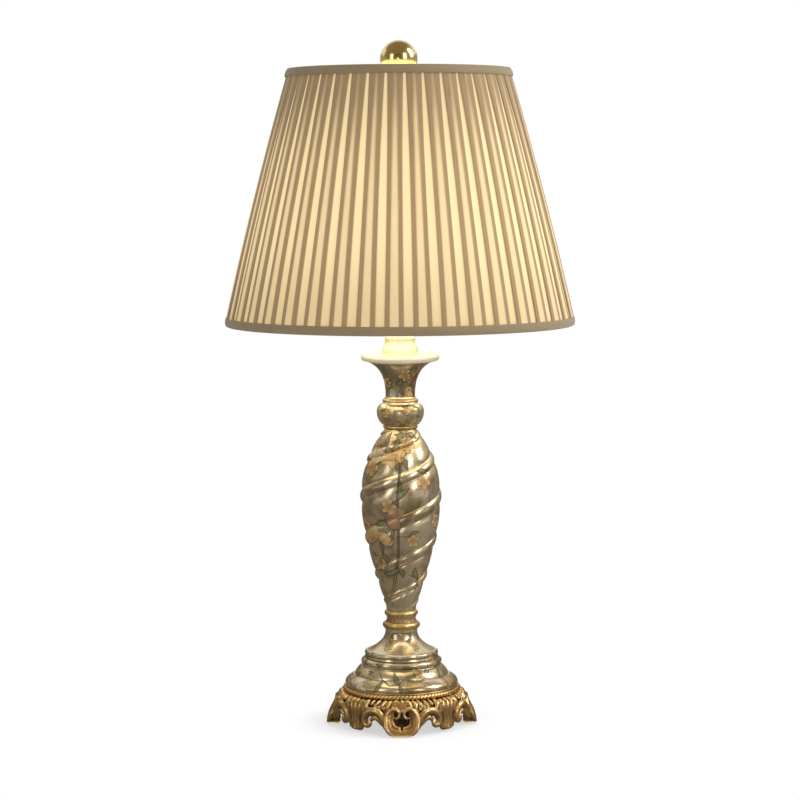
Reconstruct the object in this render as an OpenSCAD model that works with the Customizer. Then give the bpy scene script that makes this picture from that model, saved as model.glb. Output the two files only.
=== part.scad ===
/* [Foot casting] */
// Height of the pierced foot casting
foot_h = 50; // [46:0.5:56]
// Reach of the four scroll feet from the lamp's axis
scroll_reach = 95; // [90:0.5:104]
// Reach of the four leaf feet between them
leaf_reach = 82; // [78:0.5:88]
// Height of the arches between the feet
arch_rise = 20; // [14:0.5:24]
// Thickness of the casting's wall
casting_wall = 6; // [4:0.5:8]
// Height of the heart shape that ends a scroll foot
heart_h = 35.5; // [30:0.5:38]
// Half the width of that heart shape
heart_half_w = 22.8; // [20:0.1:26]
// Radius of the round moulding that forms the scrolls
scroll_bead = 3.6; // [2.5:0.1:4.2]
// Radius of the rope moulding round the casting's top
rope_bead = 2.6; // [2:0.1:3.2]
// Half turns of the rope moulding's two strands
rope_lays = 84; // [60:2:110]

/* [Turned column] */
// Radius of the plinth's lower edge
plinth_r = 70.5; // [66:0.5:76]
// Height of the plinth
plinth_h = 43; // [38:0.5:48]
// Height of the flared pedestal on the plinth
pedestal_h = 23.6; // [18:0.1:28]
// Radius of the pedestal's slim top
pedestal_top_r = 19.9; // [19:0.1:23]
// Height of the double ring collar under the vase
collar_h = 30; // [26:0.5:36]
// Radius of the collar's larger ring
collar_r = 23.4; // [22:0.1:28]
// Height of the twisted vase
vase_h = 224; // [200:1:240]
// Radius of the vase at its belly
vase_r = 49.6; // [44:0.1:54]
// Radius of the vase's lower end
vase_foot_r = 18.6; // [16:0.1:20]
// Radius of the vase's upper end
vase_neck_r = 19.6; // [18:0.1:24]
// How far the spiral bands stand proud of the vase
band_proud = 0.8; // [0.4:0.1:2.4]
// Depth of the groove beside each band
band_groove = 1.7; // [0.6:0.1:2.2]
// Slope of the spiral bands at the vase's foot
band_slope_low = 0.43; // [0.36:0.01:0.5]
// Slope of the spiral bands at the vase's neck
band_slope_high = 0.3; // [0.26:0.01:0.4]
// Height of the thin ring on top of the vase
vase_ring_h = 5; // [4:0.5:9]
// Height of the round knop
knop_h = 27; // [24:0.5:32]
// Radius of the round knop
knop_r = 29.4; // [27:0.1:33]
// Height of the collar on the knop
neck_collar_h = 8; // [7:0.5:12]
// Height of the trumpet neck
neck_h = 43; // [38:0.5:50]
// Radius of the trumpet neck's stem
neck_r = 18.3; // [16:0.1:20]
// Radius of the saucer
saucer_r = 48.7; // [45:0.1:54]
// Height of the saucer's rim
saucer_h = 11.5; // [9:0.5:14]
// Height of the sleeve between saucer and socket
sleeve_h = 56; // [50:0.5:64]
// Radius of the sleeve
sleeve_r = 18.2; // [16:0.1:19.5]

/* [Pipe and weight] */
// Radius of the threaded pipe that ties the column together
pipe_r = 4.9; // [4.5:0.1:5.1]
// Radius of the pipe's bore, through which a cord passes
pipe_bore_r = 3.2; // [2.8:0.1:3.4]
// Thickness of the cast weight plate in the foot
weight_h = 14; // [10:0.5:16]
// Width across the flats of the pipe nuts
nut_flats = 16; // [14:0.5:18]
// Height of the pipe nuts
nut_h = 6; // [4:0.5:7]
// Thickness of the pipe washers
washer_h = 1.5; // [1:0.1:2]
// Radius of the bore in the cord bushing
bushing_bore_r = 3.4; // [3.2:0.1:3.8]

/* [Socket and bulb] */
// Outer radius of the brass socket shell
socket_r = 16.6; // [16.3:0.1:18]
// Height of the socket shell
socket_h = 57; // [54:0.5:62]
// Height of the socket cap
cap_h = 18; // [16:0.5:20]
// Radius of the bulb's metal base
bulb_base_r = 13.2; // [13:0.05:13.3]
// Largest radius of the bulb's glass
bulb_r = 30; // [28:0.5:34]
// Height of the bulb's glass above its metal base
bulb_glass_h = 84; // [76:0.5:92]
// Radius of the switch knob
switch_knob_r = 5; // [4:0.1:6.5]
// Length of the switch knob
switch_knob_l = 15; // [10:0.5:16]

/* [Harp] */
// Height of the harp from its saddle posts to its top face
harp_h = 261; // [254:1:280]
// Half the harp's greatest width, between wire centres
harp_half_w = 56; // [50:0.5:62]
// Distance from the axis to each saddle post
harp_foot_x = 28; // [26:0.5:31]
// Radius of the harp's wire
harp_wire_r = 2.2; // [1.8:0.1:2.5]
// Length of each sliding ferrule
ferrule_l = 16; // [14:0.5:18]
// How far a ferrule slides up to free the harp
ferrule_travel = 12; // [10:0.5:14]
// Radius of the threaded stud on the harp
stud_r = 3.1; // [2.9:0.1:3.2]

/* [Shade] */
// Height of the shade
shade_h = 315.5; // [280:0.5:330]
// Radius of the pleated fabric at the top
shade_top_r = 136; // [125:0.5:150]
// Radius of the pleated fabric at the bottom
shade_bottom_r = 215; // [190:0.5:240]
// Outward bow of the fabric at half height
shade_bow = 2.6; // [0:0.1:4]
// Number of box pleats
pleat_count = 40; // [30:1:44]
// How far a box pleat stands proud of the recess beside it
pleat_proud = 2.2; // [1:0.1:3]
// Width of the recess between two pleats at the top
recess_top = 3.5; // [2.5:0.1:6]
// Width of the recess between two pleats at the bottom
recess_bottom = 11.5; // [8:0.1:14]
// Thickness of the fabric in the recess
fabric_wall = 1; // [0.8:0.1:1.6]
// Thickness of the stiff lining
lining_wall = 0.8; // [0.6:0.1:1.2]
// Height of the top trim
top_trim_h = 10.5; // [9:0.5:16]
// Height of the bottom trim
bottom_trim_h = 11; // [7:0.5:14]
// Thickness of both trims
trim_wall = 1.2; // [0.8:0.1:1.8]
// Radius of the ring wires and spider arms
ring_wire_r = 1.8; // [1.5:0.1:2.2]
// How far the spider's hub lies below the shade's top edge
spider_drop = 13.5; // [9:0.5:20]
// Radius of the spider's hub
hub_r = 12; // [10:0.5:15]
// Thickness of the spider's hub
hub_h = 2.5; // [1.5:0.1:3.5]

/* [Finial] */
// Radius of the finial's ball
ball_r = 23; // [18:0.5:26]
// Height of the finial's seat under the ball
seat_h = 3; // [2:0.5:5]

/* [Fits] */
// Radial clearance of parts that turn or slide on each other
running_gap = 0.06; // [0.03:0.01:0.1]
// Radial clearance of parts that are only slipped together
slip_gap = 0.3; // [0.2:0.05:0.4]

/* [Hidden] */

$fn = 96;
tiny = 0.01;

// Levels of the stacked pieces, from the table up
plinth_z = foot_h;
pedestal_z = plinth_z + plinth_h;
collar_z = pedestal_z + pedestal_h;
vase_z = collar_z + collar_h;
vase_ring_z = vase_z + vase_h;
knop_z = vase_ring_z + vase_ring_h;
neck_collar_z = knop_z + knop_h;
neck_z = neck_collar_z + neck_collar_h;
saucer_z = neck_z + neck_h;
saucer_floor = 6;
sleeve_z = saucer_z + saucer_floor;
top_washer_z = sleeve_z + sleeve_h;
top_nut_z = top_washer_z + washer_h;
saddle_z = top_nut_z + nut_h;

// The saddle's strap, posts and pins
strap_h = 1.6;
strap_w = 11;
post_flange_h = 2;
post_flange_r = 4;
post_z = saddle_z + 6;
post_h = 6;
pin_r = 1.2;
pin_h = 8;
harp_z = post_z + post_h;

// Socket levels
cap_z = saddle_z + strap_h;
pipe_top_z = cap_z + 9;
shell_z = cap_z + cap_h - 4;
core_z = cap_z + cap_h + 3;
core_h = 20;
core_top_z = core_z + core_h;
sheet_wall = 0.7;
lining_out_r = socket_r - sheet_wall - slip_gap;
core_r = lining_out_r - sheet_wall - slip_gap;
screw_shell_in_r = bulb_base_r + running_gap;
screw_shell_wall = 0.5;
screw_shell_h = 28;
contact_h = 2;
switch_z = core_z + core_h / 2;
switch_shaft_r = 2;
knob_gap = 3;

// Bulb levels
bulb_z = core_top_z + contact_h;
tip_h = 2;
insulator_h = 3;
bulb_base_h = 24;
glass_z = bulb_z + tip_h + insulator_h + bulb_base_h;
glass_wall = 1;

// The foot's weight, washer, nut and bushing hang under a ledge in the casting
ledge_h = 6;
ledge_r = 44;
weight_z = foot_h - ledge_h - weight_h;
weight_r = plinth_r - 11;
bottom_washer_z = weight_z - washer_h;
bottom_nut_z = bottom_washer_z - nut_h;
bushing_skirt = 4;
pipe_z = bottom_nut_z - bushing_skirt;
bushing_lip = 4;
hole_r = pipe_r + slip_gap;
saddle_join = (hole_r + strap_w / 2) / 2;

// Harp: straight foot, a bend out, a bend back to upright, then the shoulder
harp_foot_h = ferrule_l + ferrule_travel;
out_bend_r = 22;
back_bend_r = 40;
bend_a = 45;
bend_run = (harp_half_w - harp_foot_x - (out_bend_r + back_bend_r) * (1 - cos(bend_a))) / sin(bend_a);
bend_h = (out_bend_r + back_bend_r) * sin(bend_a) + bend_run * cos(bend_a);
harp_top_z = harp_z + harp_h;
boss_r = 8;
boss_h = 5;
shoulder_r = harp_half_w - boss_r + 2;
stud_flange_h = 2;
stud_flange_r = 7.5;
stud_h = 16;
rivet_r = 2.5;

// Shade levels
hub_washer_z = harp_top_z + stud_flange_h;
hub_washer_h = 1;
hub_washer_r = 9;
hub_z = hub_washer_z + hub_washer_h;
shade_top_z = hub_z + hub_h + spider_drop;
shade_z = shade_top_z - shade_h;
hem_gap = 0.3;
hem_z = shade_z + trim_wall + hem_gap;
head_z = shade_top_z - trim_wall - hem_gap;
seat_z = hub_z + hub_h;
seat_r = 7;
ball_flat_r = 6;
ball_z = seat_z + seat_h + sqrt(pow(ball_r, 2) - pow(ball_flat_r, 2));

function mix(a, b, t) = a + (b - a) * t;

// Points of an arc about c, from angle a0 to a1
function arc(c, r, a0, a1, n = 8) =
    [for (i = [0:n]) let (a = mix(a0, a1, i / n)) [c[0] + r * cos(a), c[1] + r * sin(a)]];

// One point of the cubic curve with control points p
function cubic(p, t) =
    let (s = 1 - t) s * s * s * p[0] + 3 * s * s * t * p[1] + 3 * s * t * t * p[2] + t * t * t * p[3];

function curve(p, n = 10) = [for (i = [0:n]) cubic(p, i / n)];

// A piece turned about the lamp's axis: the outline runs bottom to top, from radius r_in
module turned(z, h, outline, r_in = hole_r)
    translate([0, 0, z])
        rotate_extrude()
            polygon(concat([[r_in, 0]], outline, [[r_in, h]]));

module tube(z, h, r_out, r_in)
    translate([0, 0, z])
        difference() {
            cylinder(r = r_out, h = h);
            translate([0, 0, -1]) cylinder(r = r_in, h = h + 2);
        }

module hex_nut(z)
    translate([0, 0, z])
        difference() {
            cylinder(r = nut_flats / 2 / cos(30), h = nut_h, $fn = 6);
            translate([0, 0, -1]) cylinder(r = pipe_r + running_gap, h = nut_h + 2);
        }

// Faces of a grid of rings, each with cols points; closed joins the last ring to the first
function grid_faces(rings, cols, closed = false) =
    [for (i = [0:rings - (closed ? 1 : 2)], j = [0:cols - 1])
        let (k = (j + 1) % cols, a = i * cols, b = ((i + 1) % rings) * cols)
        each [[a + j, b + j, a + k], [a + k, b + j, b + k]]];

// A tube with its own radius at each point of a path; side is square to the path's plane
module swept(path, radii, side, sides = 6) {
    last = len(path) - 1;
    points = [for (i = [0:last])
        let (
            ahead = path[min(i + 1, last)] - path[max(i - 1, 0)],
            t = ahead / norm(ahead),
            v = cross(t, side),
            across = v / norm(v),
            up = cross(across, t)
        )
        for (j = [0:sides - 1])
            let (a = 360 * j / sides)
            path[i] + radii[i] * (cos(a) * across - sin(a) * up)];
    polyhedron(points, concat(
        [[for (j = [0:sides - 1]) j]],
        grid_faces(last + 1, sides),
        [[for (j = [sides - 1:-1:0]) last * sides + j]]
    ), convexity = 6);
}

// Foot casting

casting_top_r = plinth_r - rope_bead - 0.5;
fillet_h = 2.9;
fillet_r = plinth_r + 0.4;
rope_z = foot_h - fillet_h - slip_gap - rope_bead;
rope_shelf_z = rope_z - rope_bead - 0.6;
casting_cols = 72;
casting_rows = 6;
scroll_foot = [[casting_top_r + 2, rope_shelf_z], [scroll_reach - 8, foot_h * 0.7],
    [scroll_reach - 18, foot_h * 0.4], [scroll_reach - 3, 0]];
leaf_foot = [[casting_top_r + 2, rope_shelf_z], [leaf_reach + 2, foot_h * 0.64],
    [leaf_reach - 7, foot_h * 0.36], [leaf_reach, 0]];
arch_foot = [[casting_top_r + 2, rope_shelf_z], [casting_top_r + 5, foot_h * 0.72],
    [casting_top_r + 8, foot_h * 0.6], [casting_top_r + 8, arch_rise]];

// 1 on a foot that is centred at angle c, falling to 0 beside it over half the width w
function footness(a, c, w) =
    let (d = abs(((a - c) % 360 + 540) % 360 - 180))
    d > w ? 0 : d < w * 0.35 ? 1 : pow(cos(90 * (d / w - 0.35) / 0.65), 2);

function scrollness(a) = max([for (c = [0:90:270]) footness(a, c, 17)]);
function leafness(a) = max([for (c = [45:90:315]) footness(a, c, 14)]);

function casting_outer(a, t) =
    let (
        s = scrollness(a),
        l = leafness(a),
        arch = cubic(arch_foot, t)
    )
    arch + s * (cubic(scroll_foot, t) - arch) + l * (cubic(leaf_foot, t) - arch);

// Around the casting: ledge and shelf on top, the cabriole face outside, the recess inside
module casting_wall_loft() {
    recess_r = (weight_r + slip_gap) / cos(180 / casting_cols);
    points = [for (j = [0:casting_cols - 1])
        let (
            a = -360 * j / casting_cols,
            face = [for (i = [0:casting_rows]) casting_outer(a, i / casting_rows)],
            back = [for (i = [casting_rows:-2:2])
                [max(recess_r, face[i][0] - casting_wall * (1 + 0.5 * scrollness(a))), face[i][1]]],
            section = concat(
                [[ledge_r, foot_h], [fillet_r, foot_h], [fillet_r, foot_h - fillet_h + 0.5],
                    [casting_top_r, foot_h - fillet_h], [casting_top_r, rope_shelf_z + 0.8]],
                face,
                back,
                [[recess_r, foot_h - ledge_h], [ledge_r, foot_h - ledge_h]]
            )
        )
        for (p = section) [p[0] * cos(a), p[0] * sin(a), p[1]]];
    rows = len(points) / casting_cols;
    polyhedron(points, [for (f = grid_faces(casting_cols, rows, true)) [f[0], f[2], f[1]]], convexity = 10);
}

// How far a scroll leans back at height z: upright at the toe, drawn in at the ankle, then the knee
function scroll_lean(z) =
    let (t = min(1, max(0, (z / heart_h - 0.2) / 0.5)))
    (scroll_reach - casting_top_r) * (0.37 * t * t * (3 - 2 * t) + 0.06 * max(0, z / heart_h - 0.8));

// A scroll in the tangent plane of a scroll foot; hand is 1 or -1
module foot_scroll(hand) {
    turns = 420;
    steps = 16;
    half_w = (heart_half_w - scroll_bead - 1) / 2;
    half_h = heart_h / 2 - scroll_bead;
    path = [for (i = [0:steps])
        let (
            t = i / steps,
            a = -140 + turns * t,
            shrink = 1 - 0.74 * t,
            x = mix(half_w + 1, half_w, t) + half_w * shrink * cos(a),
            z = heart_h * mix(0.5, 0.66, t) + half_h * shrink * sin(a)
        )
        [hand * x, -(scroll_reach - scroll_bead - scroll_lean(z)), z]];
    radii = [for (i = [0:steps]) mix(scroll_bead, scroll_bead * 0.55, i / steps)];
    swept(path, radii, [0, -1, 0]);
}

// A C scroll that follows the arch from a scroll foot to the leaf foot beside it
module arch_scroll(hand) {
    steps = 8;
    path = [for (i = [0:steps])
        let (
            t = i / steps,
            a = hand * mix(14, 40, t) - 90,
            rise = arch_rise * (0.35 + 1.05 * sin(180 * min(t * 1.15, 1))),
            r = mix(casting_top_r + 10.6, leaf_reach - 4, t)
        )
        [r * cos(a), r * sin(a), rise]];
    radii = [for (i = [0:steps]) mix(scroll_bead * 1.25, scroll_bead, i / steps)];
    swept(path, radii, [0, 0, 1]);
}

// Three lobes of an acanthus leaf that hangs over a leaf foot
module foot_leaf() {
    lobes = [[0, 5, 5], [-8, 4.2, 8.5], [8, 4.2, 8.5]];
    for (lobe = lobes)
        rotate([0, 0, lobe[0]])
            hull() {
                translate([0, -casting_top_r - 3, rope_shelf_z - 3]) sphere(r = lobe[1] * 0.8, $fn = 8);
                translate([0, -leaf_reach + lobe[1], lobe[2]]) sphere(r = lobe[1], $fn = 8);
            }
}

// The shell and berries above the heart of a scroll foot
module foot_crest()
    for (side = [-1, 0, 1])
        hull() {
            translate([side * 7, -casting_top_r - 6, rope_shelf_z - 1]) sphere(r = 2.8, $fn = 6);
            translate([side * 2.4, -casting_top_r - 14, heart_h * 0.84]) sphere(r = 2, $fn = 6);
        }

module foot_casting()
    color("darkgoldenrod")
        difference() {
            union() {
                casting_wall_loft();
                for (q = [0:3])
                    rotate([0, 0, 90 * q]) {
                        for (hand = [-1, 1]) {
                            foot_scroll(hand);
                            arch_scroll(hand);
                        }
                        foot_crest();
                        rotate([0, 0, 45]) foot_leaf();
                    }
            }
            translate([0, 0, -5]) cube([3 * scroll_reach, 3 * scroll_reach, 10], center = true);
        }

// Two strands twisted together and laid round the casting's top
module rope_moulding()
    color("goldenrod") {
        rings = rope_lays * 2;
        sides = 6;
        points = [for (i = [0:rings - 1], j = [0:sides - 1])
            let (
                a = 360 * i / rings,
                b = 360 * j / sides,
                r = rope_bead * (0.86 + 0.14 * cos(2 * b - 90 * i)),
                reach = plinth_r + r * cos(b)
            )
            [reach * cos(a), reach * sin(a), rope_z - r * sin(b)]];
        polyhedron(points, grid_faces(rings, sides, true), convexity = 6);
    }

module weight_plate()
    color("dimgray") tube(weight_z, weight_h, weight_r, hole_r);

// Turned column

// The plinth: a round rim, a groove, a slope, then a bead and a disc
module plinth()
    color("tan")
        turned(plinth_z, plinth_h, concat(
            [[plinth_r - 0.9, 0]],
            curve([[plinth_r - 0.2, 0.8], [plinth_r + 0.9, 4.2], [plinth_r - 1.6, 8.6],
                [plinth_r - 11, 12.4]], 8),
            [[plinth_r - 12.2, 12.9], [plinth_r - 12.2, 13.6]],
            curve([[plinth_r - 12.4, 14.2], [plinth_r - 13.4, 17], [plinth_r - 15.6, 19.8],
                [plinth_r - 18.9, plinth_h - 20.2]], 6),
            [[plinth_r - 19.5, plinth_h - 19.8], [plinth_r - 20.9, plinth_h - 19.2]],
            arc([plinth_r - 24, plinth_h - 14.2], 3.9, -58, 60, 6),
            arc([plinth_r - 25.7, plinth_h - 8.2], 1.3, -60, -10, 2),
            arc([plinth_r - 28.1, plinth_h - 3.5], 3.5, -40, 90, 7)
        ));

module pedestal()
    color("tan")
        turned(pedestal_z, pedestal_h, concat(
            curve([[plinth_r - 28.4, 0], [pedestal_top_r + 17.1, 0.09 * pedestal_h],
                [pedestal_top_r + 7.5, 0.3 * pedestal_h], [pedestal_top_r + 2.8, 0.61 * pedestal_h]], 8),
            curve([[pedestal_top_r + 2.8, 0.62 * pedestal_h], [pedestal_top_r + 1.7, 0.72 * pedestal_h],
                [pedestal_top_r, 0.83 * pedestal_h], [pedestal_top_r, pedestal_h]], 4)
        ));

module ring_collar()
    color("goldenrod")
        turned(collar_z, collar_h, concat(
            [[pedestal_top_r, 0]],
            arc([collar_r - 4.4, 7.4], 4.4, -75, 80, 9),
            curve([[collar_r - 4, 12], [collar_r - 5.6, 14], [collar_r - 5.6, 17], [collar_r - 4.6, 19]], 4),
            arc([collar_r - 5.9, 22.6], 3.5, -70, 80, 7),
            [[collar_r - 4.9, collar_h - 3], [vase_foot_r, collar_h]]
        ));

// The vase's plain outline: a slow swell from the foot, the belly, then in to the neck
belly_h = vase_h * 0.62;
vase_outline = concat(
    curve([[vase_foot_r, 0], [vase_foot_r + 13, 0.187 * vase_h], [vase_r, 0.419 * vase_h],
        [vase_r, belly_h]], 14),
    [for (i = [1:10]) cubic([[vase_r, belly_h], [vase_r, 0.8 * vase_h],
        [vase_neck_r + 13.6, 0.916 * vase_h], [vase_neck_r, vase_h]], i / 10)]
);
vase_table = [for (p = vase_outline) [p[1], p[0]]];
vase_rings = 60;
band_start_angle = -45;

function vase_radius(h) = lookup(h, vase_table);
function band_slope(h) = mix(band_slope_low, band_slope_high, h / vase_h);

// Degrees by which a band has turned at each of many small steps up the vase
turn_steps = 240;
turn_rise = vase_h / turn_steps;
function turn_step(h) = 180 / PI * turn_rise / vase_radius(h) / band_slope(h);
turn_at = [for (i = 0, turn = 0; i <= turn_steps; turn = turn + turn_step((i + 0.5) * turn_rise), i = i + 1)
    turn];
height_table = [for (i = [0:turn_steps]) [turn_at[i], i * turn_rise]];

// Turn and height of each ring of the vase: equal steps of turn, so that the bands stay smooth
vase_turn = turn_at[turn_steps];
function ring_turn(i) = vase_turn * i / vase_rings;
function ring_height(i) = i == vase_rings ? vase_h : lookup(ring_turn(i), height_table);

// Half the width of a band and of its two grooves, in degrees round the vase
band_half = 24;
groove_half = 29;
band_stations = [-90, -68, -46, -groove_half, -band_half, -17, -9, 0, 9, 17, band_half, groove_half, 46, 68];

function band_relief(u) =
    let (d = abs(u))
    d < band_half + tiny
        ? (band_proud + band_groove) * pow(1 - pow(d / (band_half + 1), 2), 0.7) - band_groove
    : d < groove_half + tiny ? -band_groove
    : -band_groove * pow(1 - (d - groove_half) / (90 - groove_half), 3);

// The bands fade out at both ends, where the vase meets its rings
function band_fade(h) = min(1, h / 14, (vase_h - h) / 10);

module twisted_vase()
    color("tan")
        translate([0, 0, vase_z])
            difference() {
                cols = 2 * len(band_stations);
                points = [for (i = [0:vase_rings], s = [0:1], u = band_stations)
                    let (
                        h = ring_height(i),
                        a = 180 * s + u + ring_turn(i) + band_start_angle,
                        r = vase_radius(h) + band_fade(h) * band_relief(u)
                    )
                    [r * cos(a), r * sin(a), h]];
                polyhedron(points, concat(
                    [[for (j = [0:cols - 1]) j]],
                    grid_faces(vase_rings + 1, cols),
                    [[for (j = [cols - 1:-1:0]) vase_rings * cols + j]]
                ), convexity = 10);
                translate([0, 0, -1]) cylinder(r = hole_r, h = vase_h + 2);
            }

module vase_ring()
    color("goldenrod")
        turned(vase_ring_z, vase_ring_h, concat(
            [[vase_neck_r - 0.6, 0]],
            arc([vase_neck_r - 0.2, vase_ring_h / 2], vase_ring_h / 2 - 0.3, -80, 80, 7),
            [[vase_neck_r - 0.6, vase_ring_h]]
        ));

module knop()
    color("tan")
        turned(knop_z, knop_h, concat(
            curve([[knop_r - 7.6, 0], [knop_r - 2.9, 0.13 * knop_h], [knop_r, 0.35 * knop_h],
                [knop_r, 0.59 * knop_h]], 8),
            curve([[knop_r, 0.59 * knop_h + tiny], [knop_r, 0.8 * knop_h], [knop_r - 2.4, 0.95 * knop_h],
                [neck_r + 4, knop_h]], 7)
        ));

module neck_collar()
    color("wheat")
        turned(neck_collar_z, neck_collar_h, concat(
            [[neck_r + 3.6, 0]],
            arc([neck_r + 1.4, 3], 2.6, -45, 75, 6),
            curve([[neck_r + 2, neck_collar_h - 2.3], [neck_r + 1.2, neck_collar_h - 2],
                [neck_r + 0.6, neck_collar_h - 1], [neck_r + 0.4, neck_collar_h]], 4)
        ));

module trumpet_neck()
    color("tan")
        turned(neck_z, neck_h, curve([[neck_r, 0], [neck_r, neck_h * 0.56], [neck_r + 6.4, neck_h * 0.84],
            [saucer_r - 9.5, neck_h]], 12));

module saucer()
    color("wheat")
        turned(saucer_z, saucer_floor, concat(
            [[saucer_r - 10, 0]],
            arc([saucer_r - 4.8, saucer_h - 5.2], 4.8, -75, 110, 10),
            curve([[saucer_r - 8, saucer_h - 2.4], [saucer_r - 16, saucer_floor + 0.4],
                [saucer_r - 22, saucer_floor], [sleeve_r + 5, saucer_floor]], 6)
        ));

module neck_sleeve()
    color("wheat")
        turned(sleeve_z, sleeve_h, concat(
            curve([[sleeve_r + 2.4, 0], [sleeve_r + 4.6, 2], [sleeve_r + 4.8, 7], [sleeve_r + 2.6, 12]], 6),
            curve([[sleeve_r + 1.6, 15], [sleeve_r + 0.6, 18], [sleeve_r + 0.2, 20],
                [sleeve_r + 0.8, 23]], 4),
            [[sleeve_r + 0.6, 25], [sleeve_r, 26], [sleeve_r, sleeve_h - 2], [sleeve_r - 2, sleeve_h]]
        ));

// Pipe, nuts and bushing

module threaded_pipe()
    color("silver") tube(pipe_z, pipe_top_z - pipe_z, pipe_r, pipe_bore_r);

module bottom_washer()
    color("silver") tube(bottom_washer_z, washer_h, nut_flats * 0.8, hole_r);

module bottom_nut()
    color("silver") hex_nut(bottom_nut_z);

// A lip below the pipe's end, with a skirt round the pipe up to the nut
module cord_bushing()
    color("black")
        difference() {
            translate([0, 0, pipe_z - bushing_lip])
                cylinder(r = pipe_r + 2.5, h = bushing_lip + bushing_skirt);
            translate([0, 0, pipe_z - bushing_lip - 1])
                cylinder(r = bushing_bore_r, h = bushing_lip + 2);
            translate([0, 0, pipe_z])
                cylinder(r = pipe_r + running_gap, h = bushing_skirt + 1);
        }

module top_washer()
    color("gold") tube(top_washer_z, washer_h, sleeve_r - 3, hole_r);

module top_nut()
    color("gold") hex_nut(top_nut_z);

// Harp saddle: a bent strap with a flanged post and a pin at each end

module harp_saddle()
    color("gold") {
        difference() {
            translate([-strap_w / 2, -strap_w / 2, saddle_z]) cube([strap_w, strap_w, strap_h]);
            translate([0, 0, saddle_z - 1]) cylinder(r = hole_r, h = strap_h + 2);
        }
        for (side = [0, 1])
            mirror([side, 0, 0]) {
                translate([0, strap_w / 4, 0])
                    rotate([90, 0, 0])
                        linear_extrude(height = strap_w / 2)
                            polygon([
                                [saddle_join, saddle_z],
                                [harp_foot_x - 6, saddle_z],
                                [harp_foot_x + 1, post_z - post_flange_h],
                                [harp_foot_x + 1, post_z - post_flange_h + 1],
                                [harp_foot_x - 3, post_z - post_flange_h + 1],
                                [harp_foot_x - 7, saddle_z + strap_h],
                                [saddle_join, saddle_z + strap_h]
                            ]);
                translate([harp_foot_x, 0, post_z - post_flange_h])
                    cylinder(r = post_flange_r, h = post_flange_h);
                translate([harp_foot_x, 0, post_z]) cylinder(r = harp_wire_r, h = post_h);
                translate([harp_foot_x, 0, harp_z]) cylinder(r = pin_r, h = pin_h);
            }
    }

// Socket

cap_neck_r = 8.5;
cap_neck_h = 7;

module socket_cap()
    color("gold")
        difference() {
            translate([0, 0, cap_z])
                rotate_extrude()
                    polygon([
                        [pipe_r + running_gap, 0],
                        [cap_neck_r, 0],
                        [cap_neck_r, cap_neck_h - 1],
                        [socket_r - 3, cap_neck_h],
                        [socket_r + sheet_wall, cap_neck_h + 4],
                        [socket_r + sheet_wall + slip_gap, cap_h],
                        [socket_r + slip_gap, cap_h],
                        [socket_r, cap_neck_h + 4.6],
                        [socket_r - 3.4, cap_neck_h + 1],
                        [pipe_r + running_gap, cap_neck_h + 1]
                    ]);
            translate([0, 0, cap_z + cap_neck_h / 2 - 0.5])
                rotate([0, 90, 0]) cylinder(r = cap_screw_r + running_gap, h = cap_neck_r + 1);
        }

cap_screw_r = 1.5;

module cap_screw()
    color("silver")
        translate([pipe_r + running_gap, 0, cap_z + cap_neck_h / 2 - 0.5])
            rotate([0, 90, 0]) cylinder(r = cap_screw_r, h = cap_neck_r - pipe_r + 2);

module socket_shell()
    color("gold")
        difference() {
            tube(shell_z, socket_h, socket_r, socket_r - sheet_wall);
            switch_hole();
        }

module socket_lining()
    color("black")
        difference() {
            tube(shell_z + 1, socket_h - 2, lining_out_r, lining_out_r - sheet_wall);
            switch_hole();
        }

module switch_hole()
    translate([0, 0, switch_z])
        rotate([90, 0, 0]) cylinder(r = switch_shaft_r + 1, h = socket_r + 5);

module screw_shell()
    color("gold") tube(core_top_z, screw_shell_h, screw_shell_in_r + screw_shell_wall, screw_shell_in_r);

module socket_core()
    color("saddlebrown")
        difference() {
            translate([0, 0, core_z]) cylinder(r = core_r, h = core_h);
            translate([0, 0, switch_z])
                rotate([90, 0, 0]) cylinder(r = switch_shaft_r + running_gap, h = core_r + 1);
            for (side = [-1, 1])
                translate([side * core_r * 0.6, 0, core_z - 1])
                    cylinder(r = terminal_r + running_gap, h = terminal_l + 1);
        }

module centre_contact()
    color("gold")
        translate([0, 0, core_top_z]) {
            cylinder(r = 4.5, h = contact_h * 0.4);
            cylinder(r = 3, h = contact_h);
        }

terminal_r = 1.6;
terminal_l = 6;

module terminal_screws()
    color("silver")
        for (side = [-1, 1])
            translate([side * core_r * 0.6, 0, core_z]) {
                translate([0, 0, -1.6]) cylinder(r = 3, h = 1.6);
                cylinder(r = terminal_r, h = terminal_l);
            }

knob_y = socket_r + knob_gap;

module switch_shaft()
    color("silver")
        translate([0, 0, switch_z])
            rotate([90, 0, 0])
                translate([0, 0, tiny]) cylinder(r = switch_shaft_r, h = knob_y + switch_knob_l / 2);

module switch_knob()
    color("black")
        translate([0, -knob_y, switch_z])
            rotate([90, 0, 0])
                difference() {
                    union() {
                        cylinder(r = switch_knob_r, h = switch_knob_l - 4);
                        cylinder(r = switch_knob_r - 1, h = switch_knob_l);
                        for (k = [0:5])
                            rotate([0, 0, 60 * k])
                                translate([switch_knob_r - 0.3, 0, 2])
                                    cylinder(r = 0.8, h = switch_knob_l - 6);
                    }
                    translate([0, 0, -1])
                        cylinder(r = switch_shaft_r + running_gap, h = switch_knob_l / 2 + 1);
                }

// Bulb

module bulb_contact()
    color("silver") translate([0, 0, bulb_z]) cylinder(r1 = 3.6, r2 = 4.6, h = tip_h);

module bulb_insulator()
    color("black")
        translate([0, 0, bulb_z + tip_h]) cylinder(r1 = 5, r2 = bulb_base_r - 1.4, h = insulator_h);

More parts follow.
